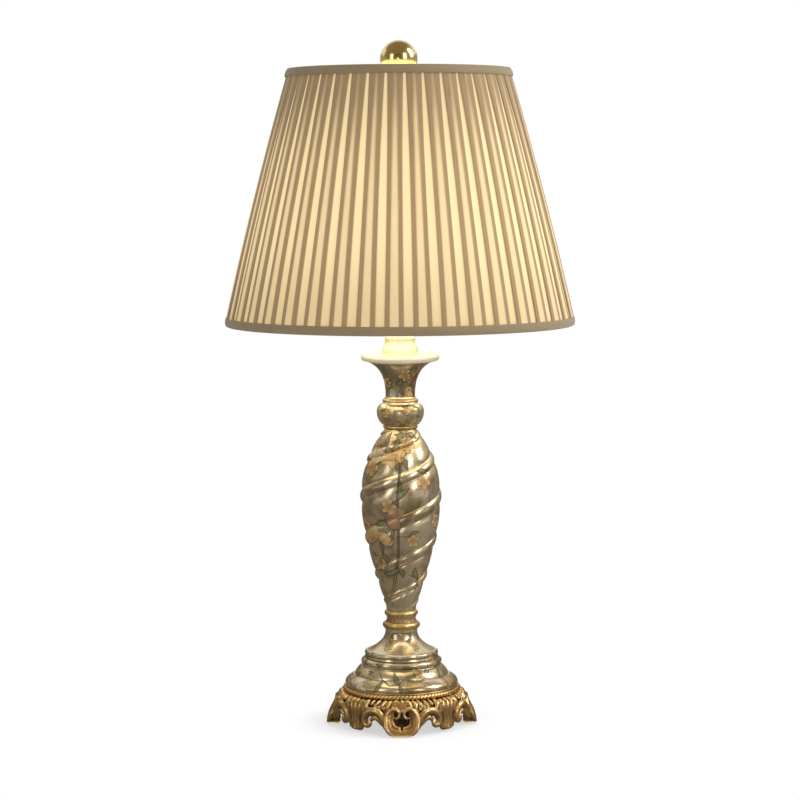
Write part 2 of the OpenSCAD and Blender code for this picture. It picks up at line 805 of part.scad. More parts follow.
module bulb_base()
    color("silver")
        translate([0, 0, bulb_z + tip_h + insulator_h])
            difference() {
                cylinder(r = bulb_base_r, h = bulb_base_h);
                translate([0, 0, 1]) cylinder(r = bulb_base_r - sheet_wall, h = bulb_base_h);
            }

// Outline of the glass: a slim neck that swells into the round head; inset makes the inside
function glass_outline(inset) = concat(
    curve([[bulb_base_r - inset, 0], [bulb_base_r - inset, bulb_glass_h * 0.24],
        [bulb_r - inset, bulb_glass_h - bulb_r - 26], [bulb_r - inset, bulb_glass_h - bulb_r]], 8),
    arc([0, bulb_glass_h - bulb_r], bulb_r - inset, 6, 90, 10)
);

module bulb_glass()
    color("white", 0.6)
        translate([0, 0, glass_z])
            rotate_extrude() {
                outside = glass_outline(0);
                inside = glass_outline(glass_wall);
                polygon(concat(outside, [for (i = [len(inside) - 1:-1:0]) inside[i]]));
            }

module bulb_stem()
    color("lightgray")
        translate([0, 0, glass_z]) {
            cylinder(r = bulb_base_r - glass_wall - slip_gap, h = 3);
            cylinder(r = 3.5, h = bulb_glass_h * 0.42);
            translate([0, 0, bulb_glass_h * 0.42]) cylinder(r = 9, h = 2);
        }

// Harp

// Centre line of one leg in the XZ plane: foot, bend out, straight run, bend back, shoulder
path_z = harp_z + harp_foot_h;
harp_leg = concat(
    [[harp_foot_x, harp_z]],
    arc([harp_foot_x + out_bend_r, path_z], out_bend_r, 180, 180 - bend_a, 5),
    arc([harp_half_w - back_bend_r, path_z + bend_h], back_bend_r, -bend_a, 0, 6),
    arc([harp_half_w - shoulder_r, harp_top_z - boss_h / 2 - shoulder_r], shoulder_r, 0, 90, 12)
);
harp_last = len(harp_leg) - 1;

module harp_wire()
    color("gold")
        difference() {
            union() {
                path = concat(
                    [for (p = harp_leg) [p[0], 0, p[1]]],
                    [for (i = [harp_last:-1:0]) [-harp_leg[i][0], 0, harp_leg[i][1]]]
                );
                swept(path, [for (p = path) harp_wire_r], [0, 1, 0], 8);
                translate([0, 0, harp_top_z - boss_h]) cylinder(r = boss_r, h = boss_h);
            }
            for (side = [-1, 1])
                translate([side * harp_foot_x, 0, harp_z - 1])
                    cylinder(r = pin_r + running_gap, h = pin_h + 2);
            translate([0, 0, harp_top_z - boss_h - 1])
                cylinder(r = rivet_r + running_gap, h = boss_h + 2);
        }

module harp_stud()
    color("gold") {
        translate([0, 0, harp_top_z - boss_h]) cylinder(r = rivet_r, h = boss_h + 1);
        translate([0, 0, harp_top_z]) cylinder(r = stud_flange_r, h = stud_flange_h);
        translate([0, 0, harp_top_z]) cylinder(r = stud_r, h = stud_flange_h + stud_h);
    }

module ferrule(side)
    color("gold")
        translate([side * harp_foot_x, 0, 0])
            tube(post_z, ferrule_l, harp_wire_r + 1.3, harp_wire_r + running_gap);

module left_ferrule() ferrule(-1);

module right_ferrule() ferrule(1);

module hub_washer()
    color("silver") tube(hub_washer_z, hub_washer_h, hub_washer_r, stud_r + running_gap);

// Shade

// Radius of the pleats' outer faces at height z; the hem hangs straight inside the bottom trim
hem_top_z = shade_z + bottom_trim_h;
middle_z = mix(hem_top_z, head_z, 0.5);
function pleat_r(z) =
    let (t = max(0, min(1, (shade_top_z - z) / (shade_top_z - hem_top_z))))
    mix(shade_top_r, shade_bottom_r, t) + shade_bow * 4 * t * (1 - t);
pleat_start = 0.3;
function recess_a(k) = 360 / pleat_count * (k + pleat_start) - 90;
function recess_w(z) = mix(recess_top, recess_bottom, (shade_top_z - z) / shade_h);
function lining_r(z) = pleat_r(z) - pleat_proud - fabric_wall - 2 * slip_gap;

ring_r_top = lining_r(shade_top_z - 5) - lining_wall - ring_wire_r - slip_gap;
ring_z_top = shade_top_z - 5.4;
ring_z_bottom = shade_z + 5;
lining_lean = (lining_r(hem_z) - lining_r(middle_z)) / (middle_z - hem_z);
ring_r_bottom = lining_r(hem_z) - lining_lean * (ring_z_bottom + ring_wire_r - hem_z)
    - lining_wall - ring_wire_r - slip_gap;

// Four points for each pleat: its two edges and the two corners of the recess between pleats
module pleated_fabric()
    color("wheat") {
        levels = [hem_z, hem_top_z, middle_z, head_z];
        inside = [head_z, middle_z, hem_z];
        corner = 0.4;
        outer = [for (z = levels, k = [0:pleat_count - 1])
            let (r = pleat_r(z), half = recess_w(z) / 2)
            each [for (s = [[-half - corner, 0], [-half, pleat_proud], [half, pleat_proud],
                [half + corner, 0]])
                let (a = recess_a(k) + s[0] / r * 180 / PI, q = r - s[1])
                [q * cos(a), q * sin(a), z]]];
        inner = [for (z = inside, k = [0:pleat_count - 1], s = [-1, 1, 3, 5])
            let (
                r = pleat_r(z) - pleat_proud - fabric_wall,
                a = recess_a(k) + s * 45 / pleat_count
            )
            [r * cos(a), r * sin(a), z]];
        cols = 4 * pleat_count;
        polyhedron(concat(outer, inner), grid_faces(len(levels) + len(inside), cols, true), convexity = 10);
    }

module shade_lining()
    color("ivory")
        rotate_extrude() {
            levels = [hem_z, middle_z, head_z];
            polygon(concat(
                [for (z = levels) [lining_r(z), z]],
                [for (i = [2:-1:0]) [lining_r(levels[i]) - lining_wall, levels[i]]]
            ));
        }

trim_lip = 2;

module top_trim()
    color("tan")
        rotate_extrude() {
            low = shade_top_z - top_trim_h;
            inner = ring_r_top - ring_wire_r;
            web = shade_top_z - trim_wall;
            polygon([
                [pleat_r(low) + slip_gap / 2, low],
                [pleat_r(low) + slip_gap / 2 + trim_wall * 0.5, low],
                [pleat_r(shade_top_z) + trim_wall + 0.8, shade_top_z - 1.5],
                [pleat_r(shade_top_z) + trim_wall, shade_top_z],
                [inner, shade_top_z],
                [inner, web - trim_lip * 0.6],
                [inner + trim_wall, web - trim_lip * 0.6],
                [inner + trim_wall, web],
                [pleat_r(web) + slip_gap / 2, web]
            ]);
        }

module bottom_trim()
    color("tan")
        rotate_extrude() {
            inner = ring_r_bottom - ring_wire_r - slip_gap - trim_wall;
            out = shade_bottom_r + slip_gap / 2 + trim_wall;
            web = shade_z + trim_wall;
            polygon([
                [out - trim_wall, web],
                [out - trim_wall, shade_z + bottom_trim_h - 1],
                [out, shade_z + bottom_trim_h - 0.4],
                [out + 0.2, shade_z + bottom_trim_h / 2],
                [out, shade_z + 1],
                [out - 1, shade_z],
                [inner, shade_z],
                [inner, web + trim_lip],
                [inner + trim_wall, web + trim_lip],
                [inner + trim_wall, web]
            ]);
        }

module ring(r, z)
    translate([0, 0, z])
        rotate_extrude() translate([r, 0]) circle(r = ring_wire_r);

module top_ring()
    color("gold") ring(ring_r_top, ring_z_top);

module bottom_ring()
    color("gold") ring(ring_r_bottom, ring_z_bottom);

// Hub with three arms that rise to the inside of the top ring
module spider()
    color("gold")
        difference() {
            union() {
                translate([0, 0, hub_z]) cylinder(r = hub_r, h = hub_h);
                for (a = [90, 210, 330])
                    rotate([0, 0, a]) {
                        start = [hub_r - 3, hub_z + hub_h / 2];
                        end = [ring_r_top - ring_wire_r - 0.1, ring_z_top];
                        run = end - start;
                        translate([start[0], 0, start[1]])
                            rotate([0, atan2(run[0], run[1]), 0]) cylinder(r = ring_wire_r, h = norm(run));
                    }
            }
            translate([0, 0, hub_z - 1]) cylinder(r = stud_r + running_gap, h = hub_h + 2);
            translate([0, 0, hub_z - 5]) cylinder(r = hub_r + 5, h = 5);
            translate([0, 0, seat_z]) cylinder(r = hub_r, h = 5);
        }

// Finial

module finial_seat()
    color("gold")
        difference() {
            translate([0, 0, seat_z])
                rotate_extrude()
                    polygon(concat([[0, 0]], arc([seat_r, seat_h / 2], seat_h / 2, -90, 90, 6),
                        [[0, seat_h]]));
            translate([0, 0, seat_z - 1]) cylinder(r = stud_r + running_gap, h = seat_h + 2);
        }

module finial_ball()
    color("gold")
        difference() {
            translate([0, 0, ball_z]) sphere(r = ball_r);
            translate([0, 0, seat_z - 10]) cylinder(r = ball_r, h = 10 + seat_h);
            translate([0, 0, seat_z]) cylinder(r = stud_r + running_gap, h = stud_h + 2);
        }

foot_casting();
rope_moulding();
weight_plate();
plinth();
pedestal();
ring_collar();
twisted_vase();
vase_ring();
knop();
neck_collar();
trumpet_neck();
saucer();
neck_sleeve();
threaded_pipe();
bottom_washer();
bottom_nut();
cord_bushing();
top_washer();
top_nut();
harp_saddle();
socket_cap();
cap_screw();
socket_shell();
socket_lining();
screw_shell();
socket_core();
centre_contact();
terminal_screws();
switch_shaft();
switch_knob();
bulb_contact();
bulb_insulator();
bulb_base();
bulb_glass();
bulb_stem();
harp_wire();
harp_stud();
left_ferrule();
right_ferrule();
hub_washer();
spider();
top_ring();
bottom_ring();
pleated_fabric();
shade_lining();
top_trim();
bottom_trim();
finial_seat();
finial_ball();
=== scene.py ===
"""Finishes and fine pieces of a table lamp with a box-pleated shade, laid over its CAD frame."""

import math
import random

import bpy
import numpy as np
from mathutils import Matrix, Vector


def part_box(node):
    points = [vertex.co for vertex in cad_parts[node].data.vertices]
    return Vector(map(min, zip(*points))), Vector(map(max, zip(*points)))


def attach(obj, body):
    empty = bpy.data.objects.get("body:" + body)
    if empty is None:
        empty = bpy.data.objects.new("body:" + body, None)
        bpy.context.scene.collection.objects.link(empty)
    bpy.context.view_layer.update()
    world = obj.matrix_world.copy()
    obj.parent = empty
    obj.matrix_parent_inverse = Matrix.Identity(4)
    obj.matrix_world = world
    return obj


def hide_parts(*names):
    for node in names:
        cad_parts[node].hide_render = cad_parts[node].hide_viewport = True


bl_info = {
    "name": "Pleated Table Lamp",
    "version": (1, 0, 0),
    "blender": (4, 5, 0),
    "location": "View3D > Sidebar > Lamp",
    "description": "Builds the fine pieces and finishes of a twisted-column table lamp",
    "category": "Add Mesh",
}

MM = 0.001
SEAM = 0.000002  # corners nearer than this, in metres, are one
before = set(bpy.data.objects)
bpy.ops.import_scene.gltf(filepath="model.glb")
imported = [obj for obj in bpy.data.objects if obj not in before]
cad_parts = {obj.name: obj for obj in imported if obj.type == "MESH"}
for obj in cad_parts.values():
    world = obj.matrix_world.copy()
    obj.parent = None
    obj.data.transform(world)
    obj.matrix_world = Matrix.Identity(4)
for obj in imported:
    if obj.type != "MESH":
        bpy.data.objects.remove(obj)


def bottom(node):
    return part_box(node)[0][2] / MM


def top(node):
    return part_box(node)[1][2] / MM


# Levels in millimetres, read from the frame
PLINTH_Z, PEDESTAL_Z, COLLAR_Z = bottom("plinth"), bottom("pedestal"), bottom("ring_collar")
VASE_Z, VASE_TOP = bottom("twisted_vase"), top("twisted_vase")
KNOP_Z, NECK_COLLAR_Z, NECK_Z = bottom("knop"), bottom("neck_collar"), bottom("trumpet_neck")
SAUCER_Z, SLEEVE_Z = bottom("saucer"), bottom("neck_sleeve")
SHADE_Z, SHADE_TOP = bottom("bottom_trim"), top("top_trim")
HARP_Z, HARP_TOP = bottom("harp_wire"), top("harp_wire")
GLASS_Z, GLASS_TOP = bottom("bulb_glass"), top("bulb_glass")
SEAT_Z, BALL_TOP = bottom("finial_seat"), top("finial_ball")


# ---- Sizes and colours a user would change


class ShadeSizes(bpy.types.PropertyGroup):
    """The pleated shade"""

    pleats: bpy.props.IntProperty(
        name="Pleats", description="Box pleats round the shade", default=40, min=24, max=48
    )
    fabric: bpy.props.FloatProperty(
        name="Cloth per pleat", description="Width of cloth folded into one pleat", default=0.0585,
        unit="LENGTH"
    )
    glow: bpy.props.FloatProperty(
        name="Glow", description="How brightly the lit cloth shines", default=0.68, min=0, max=2,
        subtype="FACTOR"
    )
    cloth: bpy.props.FloatVectorProperty(
        name="Cloth", description="Colour of the pleated cloth", subtype="COLOR", size=3,
        default=(0.27, 0.18, 0.085)
    )
    trim: bpy.props.FloatVectorProperty(
        name="Trim", description="Colour of the trims", subtype="COLOR", size=3,
        default=(0.23, 0.167, 0.084)
    )


class ColumnSizes(bpy.types.PropertyGroup):
    """The painted column"""

    band_proud: bpy.props.FloatProperty(
        name="Band height", description="How far the spiral bands stand proud", default=0.0012,
        unit="LENGTH"
    )
    groove: bpy.props.FloatProperty(
        name="Groove depth", description="Depth of the groove beside a band", default=0.0017,
        unit="LENGTH"
    )
    sprigs: bpy.props.IntProperty(
        name="Sprigs", description="Painted sprigs on the vase", default=20, min=0
    )
    lacquer: bpy.props.FloatVectorProperty(
        name="Lacquer", description="Ground colour of the column", subtype="COLOR", size=3,
        default=(0.58, 0.49, 0.33)
    )
    petal: bpy.props.FloatVectorProperty(
        name="Petals", description="Colour of the blossoms", subtype="COLOR", size=3,
        default=(0.5, 0.34, 0.13)
    )
    leaf: bpy.props.FloatVectorProperty(
        name="Leaves", description="Colour of the leaves", subtype="COLOR", size=3,
        default=(0.06, 0.062, 0.022)
    )


class FootSizes(bpy.types.PropertyGroup):
    """The scroll-foot casting"""

    grain: bpy.props.FloatProperty(
        name="Casting detail", description="Voxel size of the joined casting", default=0.00105,
        unit="LENGTH"
    )
    gold: bpy.props.FloatVectorProperty(
        name="Gold", description="Colour of the gilding", subtype="COLOR", size=3,
        default=(0.55, 0.345, 0.125)
    )
    patina: bpy.props.FloatVectorProperty(
        name="Patina", description="Colour in the hollows", subtype="COLOR", size=3,
        default=(0.05, 0.024, 0.008)
    )


# ---- Shader arithmetic


class Level:
    """A number that varies over a surface, with the arithmetic that the finishes use."""

    def __init__(self, finish, socket):
        self.finish, self.socket = finish, socket

    def math(self, operation, *values):
        values = [v.socket if isinstance(v, Level) else v for v in values]
        node = self.finish.node("ShaderNodeMath", {"operation": operation}, dict(enumerate(values)))
        return Level(self.finish, node.outputs[0])

    def __add__(self, other):
        return self.math("ADD", self, other)

    def __sub__(self, other):
        return self.math("SUBTRACT", self, other)

    def __mul__(self, other):
        return self.math("MULTIPLY", self, other)

    def __truediv__(self, other):
        return self.math("DIVIDE", self, other)

    def __rsub__(self, other):
        return self.math("SUBTRACT", other, self)

    __radd__ = __add__
    __rmul__ = __mul__

    def power(self, exponent):
        return self.math("POWER", self.math("MAXIMUM", self, 0.0), exponent)

    def step(self, low, high):
        """0 at low, 1 at high, eased between; low may be the larger."""
        node = self.finish.node(
            "ShaderNodeMapRange",
            {"interpolation_type": "SMOOTHSTEP"},
            {"Value": self.socket, "From Min": low, "From Max": high, "To Min": 0.0, "To Max": 1.0},
        )
        return Level(self.finish, node.outputs[0])


class Nodes:
    """The shader nodes of one material or world."""

    def __init__(self, tree):
        self.tree = tree

    def node(self, kind, settings=None, inputs=None):
        made = self.tree.nodes.new(kind)
        for key, value in (settings or {}).items():
            setattr(made, key, value)
        for key, value in (inputs or {}).items():
            if isinstance(value, Level):
                value = value.socket
            if isinstance(value, bpy.types.NodeSocket):
                self.tree.links.new(value, made.inputs[key])
            else:
                made.inputs[key].default_value = value
        return made

    def show_white(self):
        """1 for the rays that see the white surround: from the camera, off gloss and through glass."""
        path = self.node("ShaderNodeLightPath").outputs
        seen = Level(self, path["Is Camera Ray"]) + path["Is Glossy Ray"] + path["Is Transmission Ray"]
        return seen.math("MINIMUM", seen, 1.0)


class Finish(Nodes):
    """One material, built node by node."""

    def __init__(self, name, **shader):
        self.material = bpy.data.materials.new(name)
        self.material.use_nodes = True
        super().__init__(self.material.node_tree)
        self.shader = self.tree.nodes["Principled BSDF"]
        for key, value in shader.items():
            self.set(key.replace("_", " "), value)
        self.place = self.node("ShaderNodeTexCoord").outputs["Object"]

    def set(self, name, value):
        names = {"coat": "Coat Weight", "coat roughness": "Coat Roughness", "sheen": "Sheen Weight"}
        socket = self.shader.inputs[names.get(name.lower(), name.title() if name.islower() else name)]
        if isinstance(value, Level):
            value = value.socket
        if isinstance(value, bpy.types.NodeSocket):
            self.tree.links.new(value, socket)
        else:
            if isinstance(value, (tuple, list)) and len(value) == 3:
                value = (*value, 1.0)
            socket.default_value = value

    def look(self, colour, roughness, normal=None):
        """Sets what varies over the surface and gives back the material."""
        self.set("Base Color", colour)
        self.set("Roughness", roughness)
        if normal is not None:
            self.set("Normal", normal)
        return self.material

    def axes(self):
        """Object coordinates in millimetres."""
        parts = self.node("ShaderNodeSeparateXYZ", None, {0: self.place}).outputs
        return [Level(self, part) * 1000.0 for part in parts]

    def stretched(self, x, y, z):
        return self.node("ShaderNodeMapping", None, {"Vector": self.place, "Scale": (x, y, z)}).outputs[0]

    def noise(self, per_m, detail=3.0, rough=0.55, warp=0.0, place=None):
        node = self.node(
            "ShaderNodeTexNoise",
            None,
            {
                "Vector": place or self.place, "Scale": per_m, "Detail": detail,
                "Roughness": rough, "Distortion": warp,
            },
        )
        return Level(self, node.outputs["Fac"])

    def painted(self, name):
        """A number stored in the mesh's corners as an attribute."""
        node = self.node("ShaderNodeAttribute", {"attribute_name": name})
        return Level(self, node.outputs["Fac"])

    def blend(self, share, a, b):
        """Colour a where share is 0 and colour b where it is 1."""
        a, b = [(*c, 1.0) if isinstance(c, (tuple, list)) and len(c) == 3 else c for c in (a, b)]
        node = self.node("ShaderNodeMix", {"data_type": "RGBA"}, {0: share, 6: a, 7: b})
        return node.outputs[2]

    def bump(self, height, distance_mm, strength=1.0, under=None):
        inputs = {"Height": height, "Distance": distance_mm * MM, "Strength": strength}
        if under is not None:
            inputs["Normal"] = under
        return self.node("ShaderNodeBump", None, inputs).outputs[0]


def tone(*colour, by=1.0):
    return tuple(min(1.0, c * by) for c in colour)


# ---- Modelling helpers


def clear_selection():
    if bpy.context.object and bpy.context.object.mode != "OBJECT":
        bpy.ops.object.mode_set(mode="OBJECT")
    bpy.ops.object.select_all(action="DESELECT")


def only(obj):
    """Deselects everything and makes obj the one active object."""
    clear_selection()
    obj.select_set(True)
    bpy.context.view_layer.objects.active = obj


def apply_all(obj):
    only(obj)
    for modifier in list(obj.modifiers):
        bpy.ops.object.modifier_apply(modifier=modifier.name)


def heal(obj, gap=0.00001):
    """Merges doubled corners and turns every face outwards."""
    only(obj)
    bpy.ops.object.mode_set(mode="EDIT")
    bpy.ops.mesh.select_all(action="SELECT")
    bpy.ops.mesh.remove_doubles(threshold=gap)
    bpy.ops.mesh.normals_make_consistent(inside=False)
    bpy.ops.object.mode_set(mode="OBJECT")


def dress(obj, body, material, nodes=(), angle=40):
    """Smooths a finished piece, gives it its finish and hangs it on its body."""
    only(obj)
    bpy.ops.object.shade_smooth_by_angle(angle=math.radians(angle))
    obj.data.materials.clear()
    obj.data.materials.append(material)
    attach(obj, body)
    if nodes:
        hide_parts(*nodes)
    return obj


def turned(name, outline, steps=144):
    """Extrudes one corner along an outline of (radius, height) in mm and spins it round the axis."""
    clear_selection()
    bpy.ops.mesh.primitive_plane_add(size=MM, location=(0, 0, 0))
    obj = bpy.context.object
    obj.name = name
    bpy.ops.object.mode_set(mode="EDIT")
    bpy.ops.mesh.select_all(action="SELECT")
    bpy.ops.mesh.merge(type="CENTER")
    bpy.ops.transform.translate(value=(outline[0][0] * MM, 0, outline[0][1] * MM))
    for (r0, z0), (r1, z1) in zip(outline, outline[1:]):
        bpy.ops.mesh.extrude_vertices_move(
            TRANSFORM_OT_translate={"value": ((r1 - r0) * MM, 0, (z1 - z0) * MM)}
        )
    bpy.ops.mesh.select_all(action="SELECT")
    bpy.ops.mesh.spin(steps=steps, angle=math.tau, center=(0, 0, 0), axis=(0, 0, 1))
    bpy.ops.object.mode_set(mode="OBJECT")
    heal(obj)
    return obj


def corners_of(obj):
    """Every corner's place in mm."""
    points = np.empty(len(obj.data.vertices) * 3, np.float32)
    obj.data.vertices.foreach_get("co", points)
    return points.reshape(-1, 3).astype(float) / MM


def move_corners(obj, points):
    """Puts every corner at its place in mm."""
    points = np.asarray(points, float) * MM
    obj.data.vertices.foreach_set("co", points.reshape(-1).astype(np.float32))
    obj.data.update()


def store(obj, name, values):
    attribute = obj.data.attributes.get(name) or obj.data.attributes.new(name, "FLOAT", "POINT")
    attribute.data.foreach_set("value", np.asarray(values, np.float32))


def wrapped(name, rows, cols, place, facts=None):
    """A grid of rows by cols corners closed into a ring, each where place(row, col) says, in mm.

    Facts that place fills in are stored before the seam is closed, so they follow the merge.
    """
    clear_selection()
    bpy.ops.mesh.primitive_grid_add(x_subdivisions=cols, y_subdivisions=rows - 1, size=1)
    obj = bpy.context.object
    obj.name = name
    corner = np.arange(rows * (cols + 1))
    move_corners(obj, place(corner // (cols + 1), corner % (cols + 1) % cols))
    for key, values in (facts or {}).items():
        store(obj, key, values)
    heal(obj, SEAM)
    return obj


def tube(name, points, radii, resolution=4):
    """A round bar along a path of points in mm, with its own radius at each point."""
    clear_selection()
    bpy.ops.curve.primitive_nurbs_path_add(radius=MM)
    obj = bpy.context.object
    obj.name = name
    path = obj.data
    path.splines.clear()
    spline = path.splines.new("NURBS")
    spline.points.add(len(points) - 1)
    for corner, place, radius in zip(spline.points, points, radii):
        corner.co = (*[c * MM for c in place], 1.0)
        corner.radius = radius
    spline.order_u = 3
    spline.use_endpoint_u = True
    spline.resolution_u = resolution
    path.dimensions = "3D"
    path.bevel_depth = MM
    path.bevel_resolution = 3
    path.use_fill_caps = True
    only(obj)
    bpy.ops.object.convert(target="MESH")
    obj = bpy.context.object
    heal(obj)
    return obj


def joined(name, parts):
    only(parts[0])
    for part in parts[1:]:
        part.select_set(True)
    bpy.ops.object.join()
    obj = bpy.context.object
    obj.name = name
    return obj


def hollows(obj, rounds, name):
    """Stores how deep each corner lies below the smoothed surface, in mm: ridges are negative."""
    mesh = obj.data
    edges = np.empty(len(mesh.edges) * 2, np.int32)
    mesh.edges.foreach_get("vertices", edges)
    a, b = edges[::2], edges[1::2]
    points = corners_of(obj)
    count = np.bincount(a, minlength=len(points)) + np.bincount(b, minlength=len(points))
    smooth = points.copy()
    for _ in range(rounds):
        total = np.zeros_like(smooth)
        for k in range(3):
            for here, there in ((a, b), (b, a)):
                total[:, k] += np.bincount(here, smooth[there, k], len(points))
        smooth = total / np.maximum(count, 1)[:, None]
    normals = np.empty(len(points) * 3, np.float32)
    mesh.vertex_normals.foreach_get("vector", normals)
    store(obj, name, ((smooth - points) * normals.reshape(-1, 3)).sum(axis=1))


def cubic(p, t):
    s = 1 - t
    shares = (s**3, 3 * s * s * t, 3 * s * t * t, t**3)
    return [sum(share * corner[i] for share, corner in zip(shares, p)) for i in (0, 1)]


def curve(p, n=12):
    return [cubic(p, i / n) for i in range(n + 1)]


def arc(c, r, a0, a1, n=10):
    steps = [math.radians(a0 + (a1 - a0) * i / n) for i in range(n + 1)]
    return [[c[0] + r * math.cos(a), c[1] + r * math.sin(a)] for a in steps]


def mix(a, b, t):
    return a + (b - a) * t


def smoothstep(low, high, x):
    t = np.clip((x - low) / (high - low), 0, 1)
    return t * t * (3 - 2 * t)


# ---- Finishes


def brass(name="brass"):
    f = Finish(name, metallic=1.0, coat=0.25, coat_roughness=0.12)
    gold = (0.78, 0.58, 0.27)
    cloud, fine = f.noise(60, 4, 0.6, 0.4), f.noise(900, 3)
    colour = f.blend(cloud.step(0.35, 0.75), tone(*gold, by=0.78), gold)
    return f.look(colour, cloud * 0.14 + fine * 0.06 + 0.24, f.bump(fine, 0.02, 0.25))


def polished_brass():
    f = Finish("finial_brass", metallic=1.0, coat=0.3, coat_roughness=0.06)
    cloud, fine = f.noise(45, 3, 0.5, 0.4), f.noise(700, 3)
    colour = f.blend(cloud.step(0.35, 0.7), (0.72, 0.6, 0.3), (0.55, 0.43, 0.17))
    return f.look(colour, cloud * 0.08 + 0.15, f.bump(fine, 0.015, 0.3))


def zinc():
    f = Finish("zinc_plate", metallic=1.0)
    grain = f.noise(500, 4, 0.6, 0.2, f.stretched(1, 1, 0.15))
    colour = f.blend(grain, (0.42, 0.43, 0.44), (0.68, 0.68, 0.67))
    return f.look(colour, grain * 0.25 + 0.25, f.bump(grain, 0.03, 0.3))


def bulb_metal():
    f = Finish("bulb_metal", metallic=1.0)
    grain = f.noise(400, 3)
    return f.look(f.blend(grain, (0.62, 0.62, 0.62), (0.8, 0.79, 0.77)), grain * 0.2 + 0.22)


def iron():
    f = Finish("cast_iron_weight", metallic=0.6)
    rust, pits = f.noise(70, 4, 0.65), f.noise(700, 4, 0.7)
    colour = f.blend(rust.step(0.45, 0.7), (0.03, 0.03, 0.032), (0.1, 0.055, 0.03))
    return f.look(colour, pits * 0.3 + 0.55, f.bump(pits, 0.25, 0.6))


def moulded(name, colour, rough):
    f = Finish(name)
    grain = f.noise(1400, 2)
    varied = f.blend(grain, colour, tone(*colour, by=1.5))
    return f.look(varied, grain * 0.15 + rough, f.bump(grain, 0.03, 0.4))


def fibre():
    f = Finish("fibre_board")
    strand = f.noise(300, 5, 0.7, 0.5, f.stretched(1, 1, 4))
    colour = f.blend(strand, (0.05, 0.035, 0.025), (0.16, 0.11, 0.07))
    return f.look(colour, strand * 0.2 + 0.7, f.bump(strand, 0.08, 0.5))


def frosted():
    """The lit bulb's glass, warmer towards its base."""
    f = Finish("frosted_glass", emission_strength=2.2, coat=0.5, coat_roughness=0.1)
    _, _, z = f.axes()
    haze = z.step(GLASS_Z, GLASS_Z + 30)
    f.set("Emission Color", f.blend(haze, (0.9, 0.62, 0.3), (1.0, 0.86, 0.6)))
    return f.look(f.blend(haze, (0.75, 0.72, 0.66), (0.95, 0.92, 0.84)), f.noise(200, 2) * 0.1 + 0.35)


def gilding(name, gold, patina, hollow_mm=1.2):
    """Antique gold: paler on the ridges, partly as rubbed wear and partly as painted highlight, brown
    patina in the hollows, with a broken, brushed-on look.
    """
    f = Finish(name, metallic=1.0, coat=0.1, coat_roughness=0.25)
    broad, fine, speck = f.noise(45, 4, 0.6, 0.5), f.noise(320, 5, 0.65), f.noise(1500, 3)
    deep = f.painted("hollow") / hollow_mm
    dirt = (deep + (fine - 0.5) * 1.2 + (broad - 0.5)).step(-0.5, 0.7)
    # Painted highlight, partly rubbed wear: the ridges are lightened towards a pale gold
    shine = ((fine - 0.5) * 0.5 - deep).step(0.2, 0.9)
    warm = f.blend(broad.step(0.35, 0.7), gold, tone(gold[0], gold[1] * 0.84, gold[2] * 0.7, by=0.85))
    bright = f.blend(shine, warm, tone(gold[0] * 1.2, gold[1] * 1.4, gold[2] * 1.9))
    f.set("Metallic", 1.0 - dirt * 0.6)
    relief = f.bump(speck, 0.05, 0.35, f.bump(fine, 0.25, 0.45))
    return f.look(f.blend(dirt, bright, patina), fine * 0.14 + 0.24 + dirt * 0.35, relief)


def pale_gilt():
    """Thin champagne gilding on the saucer and the sleeve."""
    f = Finish("pale_champagne_gilt", metallic=0.45, coat=0.3, coat_roughness=0.2)
    cloud, fine = f.noise(38, 4, 0.6, 0.6), f.noise(500, 4)
    rubbed = (cloud + (fine - 0.5) * 0.35).step(0.5, 0.78)
    colour = f.blend(rubbed, (0.84, 0.78, 0.57), (0.68, 0.54, 0.28))
    return f.look(colour, cloud * 0.12 + 0.36, f.bump(fine, 0.05, 0.3))


